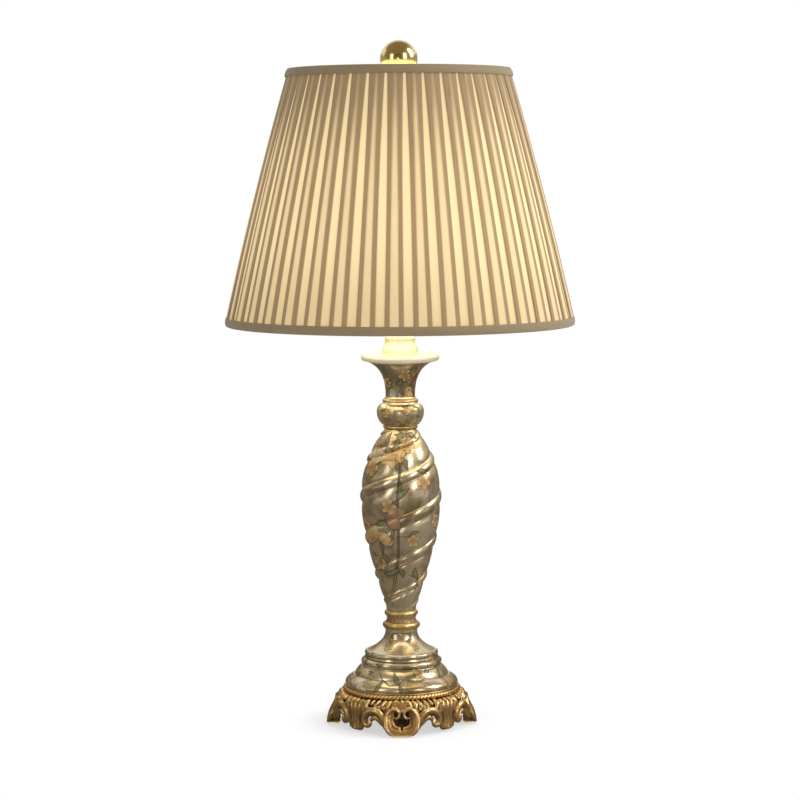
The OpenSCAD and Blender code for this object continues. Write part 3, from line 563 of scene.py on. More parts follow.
def lacquer(name, sizes, shade=1.0):
    """Bronze-gold lacquer with painted sprigs: masks come from the piece's own attributes."""
    ground = tone(*sizes.lacquer, by=shade)
    bronze = tone(ground[0] * 0.62, ground[1] * 0.55, ground[2] * 0.52)
    near_black, ink, brown = (0.045, 0.026, 0.01), (0.055, 0.028, 0.01), (0.05, 0.028, 0.012)
    cream, rust, heart = (0.6, 0.52, 0.33), (0.3, 0.17, 0.08), (0.2, 0.085, 0.022)
    f = Finish(name, coat=0.45, coat_roughness=0.09)
    broad, mid, fine = f.noise(17, 3, 0.5, 0.8), f.noise(70, 4, 0.6, 0.6), f.noise(620, 4)
    taupe = (broad + (mid - 0.5) * 0.35).step(0.45, 0.66)
    pearl = f.blend(taupe, tone(*ground, by=1.1), bronze)
    olive = (f.noise(23, 2, 0.5, 0.5, f.stretched(1.0, 1.0, 0.55)) + (mid - 0.5) * 0.3).step(0.52, 0.7)
    pearl = f.blend(olive * 0.7, pearl, tone(0.25, 0.2, 0.075, by=shade))
    hollow = f.painted("hollow").step(0.04, 0.4)
    # Painted shade: the grooves beside the bands and the other hollows are darkened towards near black
    pearl = f.blend(hollow * 0.92, pearl, near_black)
    ragged = (mid - 0.5) * 0.5
    petal, leaf, stem, branch = (f.painted(name) for name in ("petal", "leaf", "stem", "branch"))
    petal_mask, leaf_mask = (petal + ragged).step(0.25, -0.25), (leaf + ragged).step(0.25, -0.25)
    stem_mask, branch_mask = stem.step(0.3, -0.15), branch.step(0.25, -0.25)
    hue = f.painted("hue")
    tint = f.blend(hue.step(0.1, 0.35), cream, tuple(sizes.petal))
    tint = f.blend(hue.step(0.65, 0.9), tint, rust)
    veined = (f.painted("core") * 1.1 + (mid - 0.5) * 0.5).step(0.95, 0.15)
    petals = f.blend(veined * 0.75, tint, heart)
    ribbed = f.painted("rib").step(0.0, 0.8) * 0.6 + mid * 0.3
    leaves = f.blend(ribbed, tone(*sizes.leaf, by=2.4), tuple(sizes.leaf))
    bark = f.blend(branch.step(-0.5, -1.5), (0.04, 0.02, 0.008), (0.3, 0.19, 0.07))
    colour = f.blend(branch_mask * 0.95, pearl, bark)
    colour = f.blend(stem_mask * 0.9, colour, brown)
    colour = f.blend(leaf_mask * 0.9, colour, leaves)
    colour = f.blend(petal_mask * 0.9, colour, petals)
    for edge in (petal, leaf):
        outline = edge.math("ABSOLUTE", edge - 0.1).step(0.75, 0.2)
        colour = f.blend(outline * 0.75, colour, ink)
    paint = petal_mask
    for mask in (leaf_mask, stem_mask, branch_mask):
        paint = paint.math("MAXIMUM", paint, mask)
    f.set("Metallic", 0.85 - paint * 0.45 - hollow * 0.5)
    relief = f.bump(fine, 0.03, 0.2, f.bump(paint, 0.1, 0.6))
    return f.look(colour, mid * 0.1 + 0.21 + paint * 0.1, relief)


def pleated_cloth(sizes):
    """Silk-like cloth lit from inside: bright where one layer hangs, dim where three lie together."""
    f = Finish("pleated_cloth", emission_strength=sizes.glow, sheen=0.15)
    lit, height = f.painted("lit"), f.painted("height")
    weave = f.noise(2600, 2, 0.5, 0.0, f.stretched(1, 1, 0.12))
    slub = f.noise(160, 4, 0.6, 0.2, f.stretched(1, 1, 0.05))
    cloth = tuple(sizes.cloth)
    dim = f.blend(slub, tone(*cloth, by=0.86), cloth)
    colour = f.blend(lit, dim, tone(cloth[0] * 1.7, cloth[1] * 1.95, cloth[2] * 2.2))
    middle = height.step(0.0, 0.4) * height.step(1.1, 0.6)
    glow = f.blend(middle, (0.52, 0.385, 0.19), (0.88, 0.7, 0.38))
    glow = f.blend(height.step(0.6, 1.0), glow, (0.74, 0.56, 0.32))
    dark = f.blend(middle, (0.09, 0.052, 0.02), (0.18, 0.105, 0.038))
    dark = f.blend(height.step(0.6, 0.95), dark, (0.06, 0.034, 0.012))
    f.set("Emission Color", f.blend(lit * (0.9 + slub * 0.2), dark, glow))
    return f.look(colour, 0.75 + slub * 0.15, f.bump(weave, 0.06, 0.35, f.bump(slub, 0.15, 0.3)))


def trim_cloth(sizes):
    f = Finish("bias_trim", sheen=0.2)
    weave = f.noise(1900, 3, 0.6, 0.0)
    ply = f.noise(120, 3, 0.5, 0.3, f.stretched(1, 1, 3.0))
    base = tuple(sizes.trim)
    colour = f.blend(ply * 0.6 + weave * 0.4, tone(*base, by=0.8), tone(*base, by=1.15))
    return f.look(colour, 0.7 + weave * 0.2, f.bump(weave, 0.1, 0.5, f.bump(ply, 0.25, 0.25)))


def lining_cloth():
    """The lit lining, brightest halfway up, where the bulb is."""
    f = Finish("shade_lining", emission_strength=1.25)
    weave = f.noise(1500, 3, 0.6)
    _, _, z = f.axes()
    rise = z.step(SHADE_Z, SHADE_TOP)
    f.set("Emission Color", f.blend(rise * (1.0 - rise) * 4.0, (0.7, 0.58, 0.38), (1.0, 0.93, 0.74)))
    colour = f.blend(weave, (0.78, 0.72, 0.6), (0.92, 0.87, 0.76))
    return f.look(colour, 0.8 + weave * 0.15, f.bump(weave, 0.05, 0.4))


# ---- Painted sprigs


class Painter:
    """Paints blossoms, leaves and stems on a turned piece as distances in mm, stored in its corners."""

    def __init__(self, obj, seed):
        self.obj, self.random = obj, random.Random(seed)
        points = corners_of(obj)
        self.angle = np.degrees(np.arctan2(points[:, 1], points[:, 0]))
        self.reach = np.hypot(points[:, 0], points[:, 1])
        self.z = points[:, 2]
        far = np.full(len(points), 30.0)
        self.petal, self.leaf, self.stem, self.branch = far.copy(), far.copy(), far.copy(), far.copy()
        self.core, self.rib, self.hue = (np.ones(len(points)) for _ in range(3))

    def local(self, angle, z, turn=0.0):
        """Each corner's place, in mm along and across a mark at that angle and height."""
        swing = (self.angle - angle + 180) % 360 - 180
        u = np.radians(swing) * np.maximum(self.reach, 4)
        v = self.z - z
        c, s = math.cos(math.radians(turn)), math.sin(math.radians(turn))
        return u * c + v * s, v * c - u * s

    def lay(self, distance, core, hue):
        """Paints a petal over those that lie there; its own edge stays visible as a seam."""
        mine = distance < 0.5
        self.petal = np.where(mine, distance, np.minimum(self.petal, distance))
        self.core = np.where(mine, core, self.core)
        self.hue = np.where(mine, hue, self.hue)

    def blossom(self, angle, z, size, turn, hue, petals=5):
        a, b = self.local(angle, z, turn)
        away = np.hypot(a, b)
        lobe = np.abs(np.cos(np.arctan2(b, a) * petals / 2))
        self.lay(away - size * (0.4 + 0.6 * lobe**0.8), away / size * (0.75 + 0.25 * lobe), hue)

    def blade(self, a, b, length, width, fat):
        """Distance to a pointed blade from the origin, and the shares across and along it."""
        t = np.clip(a / length, 0, 1)
        half = width * np.sin(np.pi * t**fat)
        middle = b - 0.12 * length * np.sin(np.pi * t)
        distance = np.maximum(np.abs(middle) - half, np.maximum(-a, a - length))
        return distance, np.abs(middle) / np.maximum(half, 0.3), t

    def big_petal(self, angle, z, length, width, turn, hue):
        distance, _, t = self.blade(*self.local(angle, z, turn), length, width, 1.25)
        self.lay(distance, 0.25 + 0.75 * t, hue)

    def leaf_at(self, angle, z, length, width, turn):
        distance, across, _ = self.blade(*self.local(angle, z, turn), length, width, 0.8)
        nearer = distance < self.leaf
        self.leaf = np.where(nearer, distance, self.leaf)
        self.rib = np.where(nearer, across, self.rib)

    def along(self, path, half):
        """Distance to a line of that half width through points of (angle, height)."""
        distance = np.full(len(self.z), 30.0)
        for (a0, z0), (a1, z1) in zip(path, path[1:]):
            u, v = self.local(a0, z0)
            swing = math.radians((a1 - a0 + 180) % 360 - 180) * np.maximum(self.reach, 4)
            rise = z1 - z0
            t = np.clip((u * swing + v * rise) / (swing**2 + rise**2 + 1e-9), 0, 1)
            distance = np.minimum(distance, np.hypot(u - t * swing, v - t * rise) - half)
        return distance

    def trunk(self, path, half):
        """A thick brown branch with a lighter core."""
        self.branch = np.minimum(self.branch, self.along(path, half))

    def sprig(self, angle, z, size):
        """A wandering stem with leaves, a blossom and broad petals."""
        pick = self.random
        path, turn = [(angle, z)], pick.uniform(20, 160)
        for _ in range(pick.choice((4, 5, 6))):
            turn += pick.uniform(-38, 38)
            a, h = path[-1]
            near = self.reach[np.abs(self.z - h) < 6]
            r = float(near.max()) if len(near) else 30.0
            step = size * pick.uniform(0.7, 1.1)
            lean = math.radians(turn)
            path.append((a + math.degrees(step * math.cos(lean) / r), h + step * math.sin(lean)))
        self.stem = np.minimum(self.stem, self.along(path, 0.042 * size))
        for a, h in path[1::2]:
            side = pick.uniform(0, 360)
            self.leaf_at(a, h, size * pick.uniform(0.9, 1.4), size * pick.uniform(0.16, 0.24), side)
            if pick.random() < 0.5:
                length, spin = size * pick.uniform(0.8, 1.1), side + pick.uniform(90, 170)
                self.leaf_at(a, h, length, size * 0.17, spin)
        if pick.random() < 0.7:
            heading, hue = pick.uniform(0, 360), pick.choice((0.0, 0.5, 0.9, 1.0))
            for fan in pick.choice(((-38, 34, 0), (-26, 24))):
                length, width = size * pick.uniform(1.3, 1.75), size * pick.uniform(0.4, 0.58)
                self.big_petal(*path[-1], length, width, heading + fan, hue)
        bloom, spin, hue = size * pick.uniform(0.62, 0.8), pick.uniform(0, 72), pick.uniform(0.35, 0.65)
        self.blossom(*path[0], bloom, spin, hue)

    def scatter(self, count, low, high, size):
        """Sprigs spread evenly over the height and the turn."""
        for i in range(count):
            self.sprig(
                (i * 137.5 + self.random.uniform(-15, 15)) % 360 - 180,
                mix(low, high, (i + 0.5) / count) + self.random.uniform(-4, 4),
                size * self.random.uniform(0.8, 1.2),
            )

    def keep(self):
        for name in ("petal", "core", "hue", "leaf", "rib", "stem", "branch"):
            store(self.obj, name, np.clip(getattr(self, name), -30, 30))


# ---- Shapes shared by pieces

BORE_R = 5.2  # the pipe's hole through the column
VASE_FOOT_R, VASE_R, VASE_NECK_R = 18.6, 49.6, 19.6
VASE_H = VASE_TOP - VASE_Z
BELLY = 0.62 * VASE_H
VASE_OUTLINE = curve(
    [[VASE_FOOT_R, 0], [VASE_FOOT_R + 13, 0.187 * VASE_H], [VASE_R, 0.419 * VASE_H], [VASE_R, BELLY]], 40
) + curve(
    [
        [VASE_R, BELLY], [VASE_R, 0.8 * VASE_H],
        [VASE_NECK_R + 13.6, 0.916 * VASE_H], [VASE_NECK_R, VASE_H],
    ], 30
)[1:]
BAND_SLOPE = (0.43, 0.3)
BAND_START = -45.0
SHADE_H = SHADE_TOP - SHADE_Z
SHADE_R = (136.0, 215.0)
SHADE_BOW = 2.6
TRIM_H = (10.5, 11.0)
ROPE_R, ROPE_Z, STRAND_R = 70.5, 44.8, 3.1


def pleat_r(z):
    t = np.clip((SHADE_TOP - z) / (SHADE_H - TRIM_H[1]), 0, 1)
    return mix(SHADE_R[0], SHADE_R[1], t) + SHADE_BOW * 4 * t * (1 - t)


def vase_turns():
    """Heights and the bands' turn in degrees at each, from the slope of the bands."""
    h = np.linspace(0, VASE_H, 400)
    r = np.interp(h, [p[1] for p in VASE_OUTLINE], [p[0] for p in VASE_OUTLINE])
    rate = 1 / (r * (BAND_SLOPE[0] + (BAND_SLOPE[1] - BAND_SLOPE[0]) * h / VASE_H))
    turn = np.concatenate([[0], np.cumsum((rate[1:] + rate[:-1]) / 2 * np.diff(h))])
    return h, np.degrees(turn)


# ---- Operators: the column


class LAMP_OT_column_rings(bpy.types.Operator):
    """Turns the plinth, pedestal, collars, knop, neck, saucer and sleeve"""

    bl_idname = "lamp.column_rings"
    bl_label = "Turned Column"

    def execute(self, context):
        sizes = context.scene.lamp_column
        gold = gilding("gilt_turning", (0.74, 0.56, 0.27), (0.09, 0.05, 0.02), 0.8)
        pale = pale_gilt()
        bead = gilding("gilt_bead", (0.8, 0.64, 0.36), (0.16, 0.09, 0.035), 1.0)
        # Lighter and darker copies of the lacquer: the knop's is partly painted light from the lit lining
        # above, the neck's partly painted shade under the saucer
        lighter_knop_ware = lacquer("lacquered_knop", sizes, 1.25)
        wares = {"knop": lighter_knop_ware, "trumpet_neck": lacquer("lacquered_neck", sizes, 0.85)}
        ware = lacquer("lacquered_column", sizes)

        def closed(outline, z, height):
            return [(BORE_R, z)] + [(r, z + h) for r, h in outline] + [(BORE_R, z + height), (BORE_R, z)]

        high, flare = PEDESTAL_Z - PLINTH_Z, COLLAR_Z - PEDESTAL_Z
        rim = 70.5
        plinth = (
            [[rim - 0.9, 0]]
            + curve([[rim - 0.2, 0.8], [rim + 0.9, 4.2], [rim - 1.6, 8.6], [rim - 11, 12.4]], 18)
            + [[rim - 11.7, 12.4], [rim - 12.2, 12.9], [rim - 12.2, 13.6]]
            + curve(
                [[rim - 12.4, 14.2], [rim - 13.4, 17], [rim - 15.6, 19.8], [rim - 18.9, high - 20.2]], 12
            )
            + [[rim - 19.5, high - 19.8], [rim - 20.6, high - 19.5], [rim - 21, high - 18.6]]
            + arc((rim - 24, high - 14.2), 3.9, -58, 60, 12)
            + arc((rim - 25.7, high - 8.2), 1.3, -60, -10, 4)
            + arc((rim - 28.1, high - 3.5), 3.5, -40, 90, 14)
        )
        slim = 19.9
        pedestal = (
            curve([[rim - 28.4, 0], [slim + 17.1, 2.1], [slim + 7.5, 7.1], [slim + 2.8, 14.4]], 18)
            + curve([[slim + 2.8, 14.4], [slim + 1.7, 17], [slim, 19.6], [slim, flare]], 10)[1:]
        )
        collar = (
            [[slim, 0]]
            + arc((19, 7.4), 4.4, -75, 80, 14)
            + curve([[19.4, 12], [17.8, 14], [17.8, 17], [18.8, 19]], 8)
            + arc((17.5, 22.6), 3.5, -70, 80, 12)
            + [[18.5, 27], [VASE_FOOT_R, 30]]
        )
        ring = [[19, 0]] + arc((19.4, 2.5), 2.2, -80, 80, 12) + [[19, 5]]
        knop = (
            curve([[21.8, 0], [26.5, 3.5], [29.4, 9.4], [29.4, 15.9]], 16)
            + curve([[29.4, 15.9], [29.4, 21.6], [27, 25.6], [22.3, 27]], 14)[1:]
        )
        neck_collar = (
            [[21.9, 0]]
            + arc((19.7, 3), 2.6, -45, 75, 10)
            + curve([[20.3, 5.7], [19.5, 6], [18.9, 7], [18.7, 8]], 6)
        )
        neck = curve([[18.3, 0], [18.3, 24], [24.7, 36], [39.2, 43]], 26)
        saucer = (
            [[38.7, 0]]
            + arc((43.9, 6.3), 4.8, -75, 110, 20)
            + curve([[40.7, 9.1], [32.7, 6.4], [26.7, 6], [23.2, 6]], 10)
        )
        sleeve = (
            curve([[20.6, 0], [22.8, 2], [23, 7], [20.8, 12]], 12)
            + curve([[19.8, 15], [18.8, 18], [18.4, 20], [19, 23]], 8)
            + [[18.8, 25], [18.2, 26], [18.2, 54], [17.8, 55.4], [16.2, 56]]
        )
        painted = {
            "plinth": (plinth, PLINTH_Z, high, 7, 11, 6, 11.0, 240),
            "pedestal": (pedestal, PEDESTAL_Z, flare, 11, 7, 4, 9.0, 200),
            "knop": (knop, KNOP_Z, 27, 5, 7, 5, 9.0, 220),
            "trumpet_neck": (neck, NECK_Z, 43, 23, 8, 6, 9.0, 200),
        }
        for node, (outline, z, height, seed, count, inset, size, steps) in painted.items():
            obj = turned(node + "_lacquered", closed(outline, z, height), steps)
            only(obj)
            if node != "knop":
                bpy.ops.object.mode_set(mode="EDIT")
                bpy.ops.mesh.select_all(action="SELECT")
                bpy.ops.mesh.subdivide(number_cuts=1)
                bpy.ops.object.mode_set(mode="OBJECT")
            hollows(obj, 10, "hollow")
            painter = Painter(obj, seed)
            painter.scatter(count, z + inset, z + height - inset, size)
            painter.keep()
            dress(obj, "column", wares.get(node, ware), [node], 35)
        for node, outline, z, height, finish, slot in (
            ("ring_collar", collar, COLLAR_Z, 30, gold, "gilt_turning"),
            ("vase_ring", ring, VASE_TOP, KNOP_Z - VASE_TOP, gold, "gilt_turning"),
            ("neck_collar", neck_collar, NECK_COLLAR_Z, NECK_Z - NECK_COLLAR_Z, bead, "pale_gilt"),
            ("saucer", saucer, SAUCER_Z, 6, pale, "pale_gilt"),
            ("neck_sleeve", sleeve, SLEEVE_Z, 56, pale, "pale_gilt"),
        ):
            obj = turned(node + "_turned", closed(outline, z, height))
            hollows(obj, 5, "hollow")
            dress(obj, "column", finish, [node], 35)
        return {"FINISHED"}


class LAMP_OT_twisted_vase(bpy.types.Operator):
    """Models the vase with its rising spiral bands and paints its branches and sprigs"""

    bl_idname = "lamp.twisted_vase"
    bl_label = "Twisted Vase"

    def execute(self, context):
        sizes = context.scene.lamp_column
        rows, cols = 320, 324
        heights, turns = vase_turns()
        levels = np.interp(np.linspace(0, turns[-1], rows - 3), turns, heights)
        outline_h, outline_r = [p[1] for p in VASE_OUTLINE], [p[0] for p in VASE_OUTLINE]
        proud, groove = sizes.band_proud / MM, sizes.groove / MM

        def place(row, col):
            outer = np.clip(row - 1, 0, rows - 4)
            h = levels[outer]
            shift = BAND_START + np.interp(h, heights, turns)
            u = (360.0 * col / cols + 90) % 180 - 90
            d = np.abs(u)
            deep = np.where(u > 0, groove * 1.2, groove * 0.9)
            crown = (proud + deep) * np.clip(1 - (d / 25.2) ** 2, 0, 1) ** 0.8 - deep
            pillow = -deep * np.clip(1 - (d - 26.5) / 63.5, 0, 1) ** 3.2
            relief = np.where(d < 25.2, crown, np.where(d < 26.5, -deep, pillow))
            fade = np.minimum(1, np.minimum(h / 14, (VASE_H - h) / 10))
            r = np.interp(h, outline_h, outline_r) + fade * relief
            r = np.where((row == 0) | (row >= rows - 2), BORE_R, r)
            z = np.where((row == 0) | (row == rows - 1), 0, np.where(row == rows - 2, VASE_H, h))
            a = np.radians(360.0 * col / cols + shift)
            return np.stack([r * np.cos(a), r * np.sin(a), VASE_Z + z], axis=1)

        vase = wrapped("vase_twisted", rows, cols, place)
        hollows(vase, 14, "hollow")
        painter = Painter(vase, 31)
        for way in (
            [(-118, 18), (-72, 70), (-112, 120), (-84, 204)],
            [(62, 14), (106, 60), (66, 130), (110, 200)],
            [(-20, 40), (10, 100), (-30, 140), (0, 190)],
            [(160, 50), (190, 90), (150, 150), (178, 206)],
        ):
            painter.trunk([(a, VASE_Z + h) for a, h in curve(way, 24)], 1.9)
        painter.scatter(sizes.sprigs, VASE_Z + 26, VASE_TOP - 14, 15.0)
        painter.keep()
        dress(vase, "column", lacquer("lacquered_vase", sizes), ["twisted_vase"], 60)
        return {"FINISHED"}


# ---- Operators: the foot


# The heart's scrolls, as (across, height, distance from the lamp's axis, radius)
HEART_RIM = (
    (0.2, 2.6, 92.2, 2.0), (5.4, 2.6, 92.3, 2.3), (11.5, 3.4, 92.0, 2.5), (17.2, 7.0, 91.0, 2.6),
    (20.0, 13.0, 88.8, 2.7), (20.3, 20.0, 84.6, 2.7), (18.2, 27.2, 81.8, 2.7), (13.6, 32.4, 80.9, 2.8),
    (8.6, 33.4, 81.0, 2.8), (4.4, 31.0, 81.6, 2.6), (2.6, 26.6, 82.0, 2.3), (4.0, 22.6, 83.2, 2.0),
    (7.2, 21.6, 84.0, 1.7), (9.0, 23.6, 83.6, 1.3),
)
HEART_BOWL = (
    (0.5, 6.4, 90.4, 2.3), (6.0, 6.2, 90.4, 2.7), (11.4, 7.6, 89.8, 2.9), (15.2, 11.4, 88.0, 3.0),
    (16.4, 17.0, 84.8, 3.0), (15.6, 23.0, 81.6, 2.9), (13.0, 27.8, 79.8, 2.6), (9.4, 29.6, 79.4, 2.2),
)
HEART_LIP = (
    (1.2, 10.2, 87.6, 2.5), (7.0, 10.6, 87.2, 2.7), (10.8, 13.6, 85.2, 2.7), (12.0, 18.0, 82.4, 2.6),
    (11.4, 23.0, 80.0, 2.4), (9.6, 26.4, 78.8, 2.0),
)
# The other bars, as (degrees from the foot's middle, distance from the axis, height, radius)
ARCH_SCROLL = (
    (13.5, 86.0, 9.0, 2.4), (14.8, 85.0, 17.0, 3.4), (17.2, 83.6, 24.8, 4.2), (21.4, 82.6, 29.8, 4.6),
    (26.6, 81.8, 30.6, 4.6), (31.6, 81.2, 27.2, 4.5), (34.8, 81.0, 21.0, 4.3), (34.8, 81.2, 14.4, 4.0),
    (31.9, 81.8, 10.4, 3.6), (28.8, 82.2, 12.0, 3.2), (28.2, 82.0, 15.6, 2.8), (30.2, 81.6, 17.6, 2.3),
)
ARCH_LIP = (
    (15.4, 84.6, 13.0, 2.2), (18.2, 83.0, 16.6, 3.0), (21.4, 82.0, 21.4, 3.5), (25.4, 81.0, 21.6, 3.4),
    (27.8, 80.4, 18.4, 2.8),
)
KNEE_RIB = (
    (4.2, 71.0, 42.0, 2.4), (5.6, 75.6, 40.6, 3.1), (7.4, 77.1, 37.0, 3.1), (8.6, 80.2, 33.4, 2.2),
)
FLANK_LEAF = (
    (12.4, 74.0, 36.0, 2.2), (13.4, 80.0, 31.0, 2.8), (13.2, 82.6, 24.0, 2.8), (12.6, 85.0, 16.0, 2.4),
    (11.6, 87.6, 8.0, 1.6),
)
LEAF_CURL = (
    (6.0, 74.0, 40.0, 1.8), (10.5, 79.0, 38.0, 2.5), (13.4, 80.8, 33.0, 2.7), (13.2, 80.4, 27.0, 2.5),
    (10.6, 80.4, 23.6, 2.1), (8.6, 81.4, 26.4, 1.7), (9.6, 81.8, 29.4, 1.2),
)
# The leaf foot's lobes, as (degrees, radius, height of the tip)
LEAF_LOBES = ((-9.6, 2.6, 6.0), (-4.9, 3.0, 4.2), (0, 3.2, 3.4), (4.9, 3.0, 4.2), (9.6, 2.6, 6.0))


def tongue(first, last, low, thick):
    """An acanthus tongue that springs from under the rope and turns over the arch."""
    return (
        (first, 70.5, 41.2, thick * 0.8), (mix(first, last, 0.4), 75.0, 40.4, thick * 1.1),
        (mix(first, last, 0.8), 79.0, mix(40, low, 0.6), thick * 1.1), (last, 81.6, low, thick * 0.6),
    )


FRONT_BARS = (
    ARCH_SCROLL, ARCH_LIP, tongue(9.5, 13.5, 33.0, 2.5), tongue(14.5, 18.5, 34.0, 2.3),
    tongue(20.0, 23.5, 36.0, 2.1), tongue(26.0, 28.0, 36.6, 2.1), tongue(32.0, 32.6, 34.0, 2.3),
    KNEE_RIB, FLANK_LEAF,
)


class LAMP_OT_foot_casting(bpy.types.Operator):
    """Builds the pierced casting from its wall, scrolls and leaves, and joins them into one skin"""

    bl_idname = "lamp.foot_casting"
    bl_label = "Foot Casting"

    def wall(self):
        """The ledge, the fillet and the cabriole skirt, lofted through its own section at every angle."""
        cols = 216
        shelf = [
            (44, 49.9), (68.6, 49.9), (70.1, 49.3), (70.2, 48.2), (69.4, 47.3), (67.2, 46.9), (67, 41.6)
        ]
        ledge = [(60.2, 43.9), (44, 43.9), (44, 49.9)]
        face, back = 16, 9
        rows = len(shelf) + face + back + len(ledge)
        feet = {
            "arch": [[68, 41], [71, 36], [74, 30], [74, 20.5]],
            "scroll": [[69, 41], [82, 36], [75, 20], [90, 1.8]],
            "leaf": [[69, 41], [82, 32], [74, 17], [79, 1.8]],
        }

        def nearness(a, centre, w):
            """1 at the middle of a foot, eased to 0 at w degrees from it."""
            d = np.abs((a - centre + 45) % 90 - 45)
            eased = np.sin(np.radians(90 * (1 - (d / w - 0.35) / 0.65))) ** 2
            return np.where(d > w, 0, np.where(d < w * 0.35, 1, eased))

        def place(row, col):
            a = 360.0 * col / cols
            s, l = nearness(a, 0, 15), nearness(a, 45, 12)
            t = np.clip((row - len(shelf) + 1) / face, 0, 1)
            inner = row >= len(shelf) + face
            t = np.where(inner, 1 - (row - len(shelf) - face) / (back - 1) * 0.94, t)
            arch, scroll, leaf = (cubic(feet[name], t) for name in ("arch", "scroll", "leaf"))
            r = arch[0] + s * (scroll[0] - arch[0]) + l * (leaf[0] - arch[0])
            z = arch[1] + s * (scroll[1] - arch[1]) + l * (leaf[1] - arch[1])
            aside = 84 * np.sin(np.radians((a + 45) % 90 - 45))
            dish = 9 * np.exp(-((aside / 7.5) ** 4) - ((z - 21.0) / 8.0) ** 4)
            flute = 0.8 * np.cos(np.radians(a * 20)) * l * (1 - s)
            r = r - dish + np.where(inner, 0, flute)
            r = np.where(inner, np.maximum(60.2, r - 4.5), r)
            for k, (fr, fz) in enumerate(shelf):
                r, z = np.where(row == k, fr, r), np.where(row == k, fz, z)
            for k, (fr, fz) in enumerate(ledge):
                m = row == rows - len(ledge) + k
                r, z = np.where(m, fr, r), np.where(m, fz, z)
            q = np.radians(a)
            return np.stack([r * np.cos(q), r * np.sin(q), z], axis=1)

        return wrapped("casting_wall", rows, cols, place)

    def bar(self, name, stations, hand=1):
        """A tapered bar through (degrees from the foot's middle, reach, height, radius)."""
        path = [
            (hand * r * math.sin(math.radians(a)), -r * math.cos(math.radians(a)), z)
            for a, r, z, _ in stations
        ]
        return tube(name, path, [thick for *_, thick in stations])

    def quarter(self):
        """The heart, the shell, the arches and their leaves round the front foot."""
        parts = []
        for hand in (-1, 1):
            for stations in (HEART_RIM, HEART_BOWL, HEART_LIP):
                path = [(hand * x, -d, z) for x, z, d, _ in stations]
                parts.append(tube("heart_scroll", path, [thick for *_, thick in stations]))
            for stations in FRONT_BARS:
                parts.append(self.bar("front_bar", stations, hand))
        for i, spread in enumerate((-68, -34, 0, 34, 68)):
            s, c = math.sin(math.radians(spread)), math.cos(math.radians(spread))
            lobe = [
                (1.2 * s, -81.4, 33.0), (5.4 * s, 2.6 * c - 80.4, 33.6 + 4.4 * c),
                (9.8 * s, 4.0 * c - 78.6, 34.2 + 8.6 * c),
            ]
            parts.append(tube("shell_lobe", lobe, [1.1, 1.6, 2.3 - 0.15 * abs(i - 2)]))
        for name, path, radii in (
            ("shell_berry", [(0, -81.6, 29.4), (0, -82.2, 31.2), (0, -81.4, 33.0)], [1.8, 2.4, 1.5]),
            ("toe", [(-14, -86.0, 5.0), (0, -88.4, 3.6), (14, -86.0, 5.0)], [3.2, 3.4, 3.2]),
            ("heel", [(-12, -80.5, 4.8), (0, -83.0, 3.0), (12, -80.5, 4.8)], [4.4, 5.0, 4.4]),
        ):
            parts.append(tube(name, path, radii))
        return parts

    def leaf_foot(self):
        """The fluted leaf foot between two scroll feet, turned later to its place."""
        parts = []
        for spread, thick, low in LEAF_LOBES:
            outer = 80.4 - abs(spread) * 0.15
            parts.append(self.bar("leaf_lobe", (
                (spread * 1.0, 70.5, 41.0, thick * 0.6), (spread * 1.12, 76.0, 39.0, thick),
                (spread * 1.04, 80.0, 34.0, thick * 1.05), (spread * 0.86, 80.2, 27.0, thick),
                (spread * 0.74, 78.6, 19.0, thick), (spread * 0.7, 79.0, 12.0, thick * 1.1),
                (spread * 0.72, outer, 7.0, thick * 1.2), (spread * 0.6, outer + 0.6, low, thick),
            )))
        return parts + [self.bar("leaf_curl", LEAF_CURL, hand) for hand in (-1, 1)]

    def execute(self, context):
        sizes = context.scene.lamp_foot
        front = joined("front_foot", self.quarter())
        leaf = joined("leaf_foot", self.leaf_foot())
        leaf.data.transform(Matrix.Rotation(math.radians(45), 4, "Z"))
        parts = [front, leaf]
        for k in (1, 2, 3):
            for source in (front, leaf):
                copy = source.copy()
                copy.data = source.data.copy()
                context.collection.objects.link(copy)
                copy.data.transform(Matrix.Rotation(math.radians(90 * k), 4, "Z"))
                parts.append(copy)
        casting = joined("casting", [self.wall()] + parts)
        remesh = casting.modifiers.new("skin", "REMESH")
        remesh.mode, remesh.voxel_size, remesh.adaptivity = "VOXEL", sizes.grain, 0
        smooth = casting.modifiers.new("soften", "SMOOTH")
        smooth.factor, smooth.iterations = 0.5, 4
        apply_all(casting)
        # Everything is cut flat where it would stand above the ledge or below the table
        points = corners_of(casting)
        points[:, 2] = np.clip(points[:, 2], 0, PLINTH_Z)
        move_corners(casting, points)
        hollows(casting, 22, "hollow")
        gold = gilding("gilt_casting", tuple(sizes.gold), tuple(sizes.patina))
        dress(casting, "column", gold, ["foot_casting"], 180)
        return {"FINISHED"}


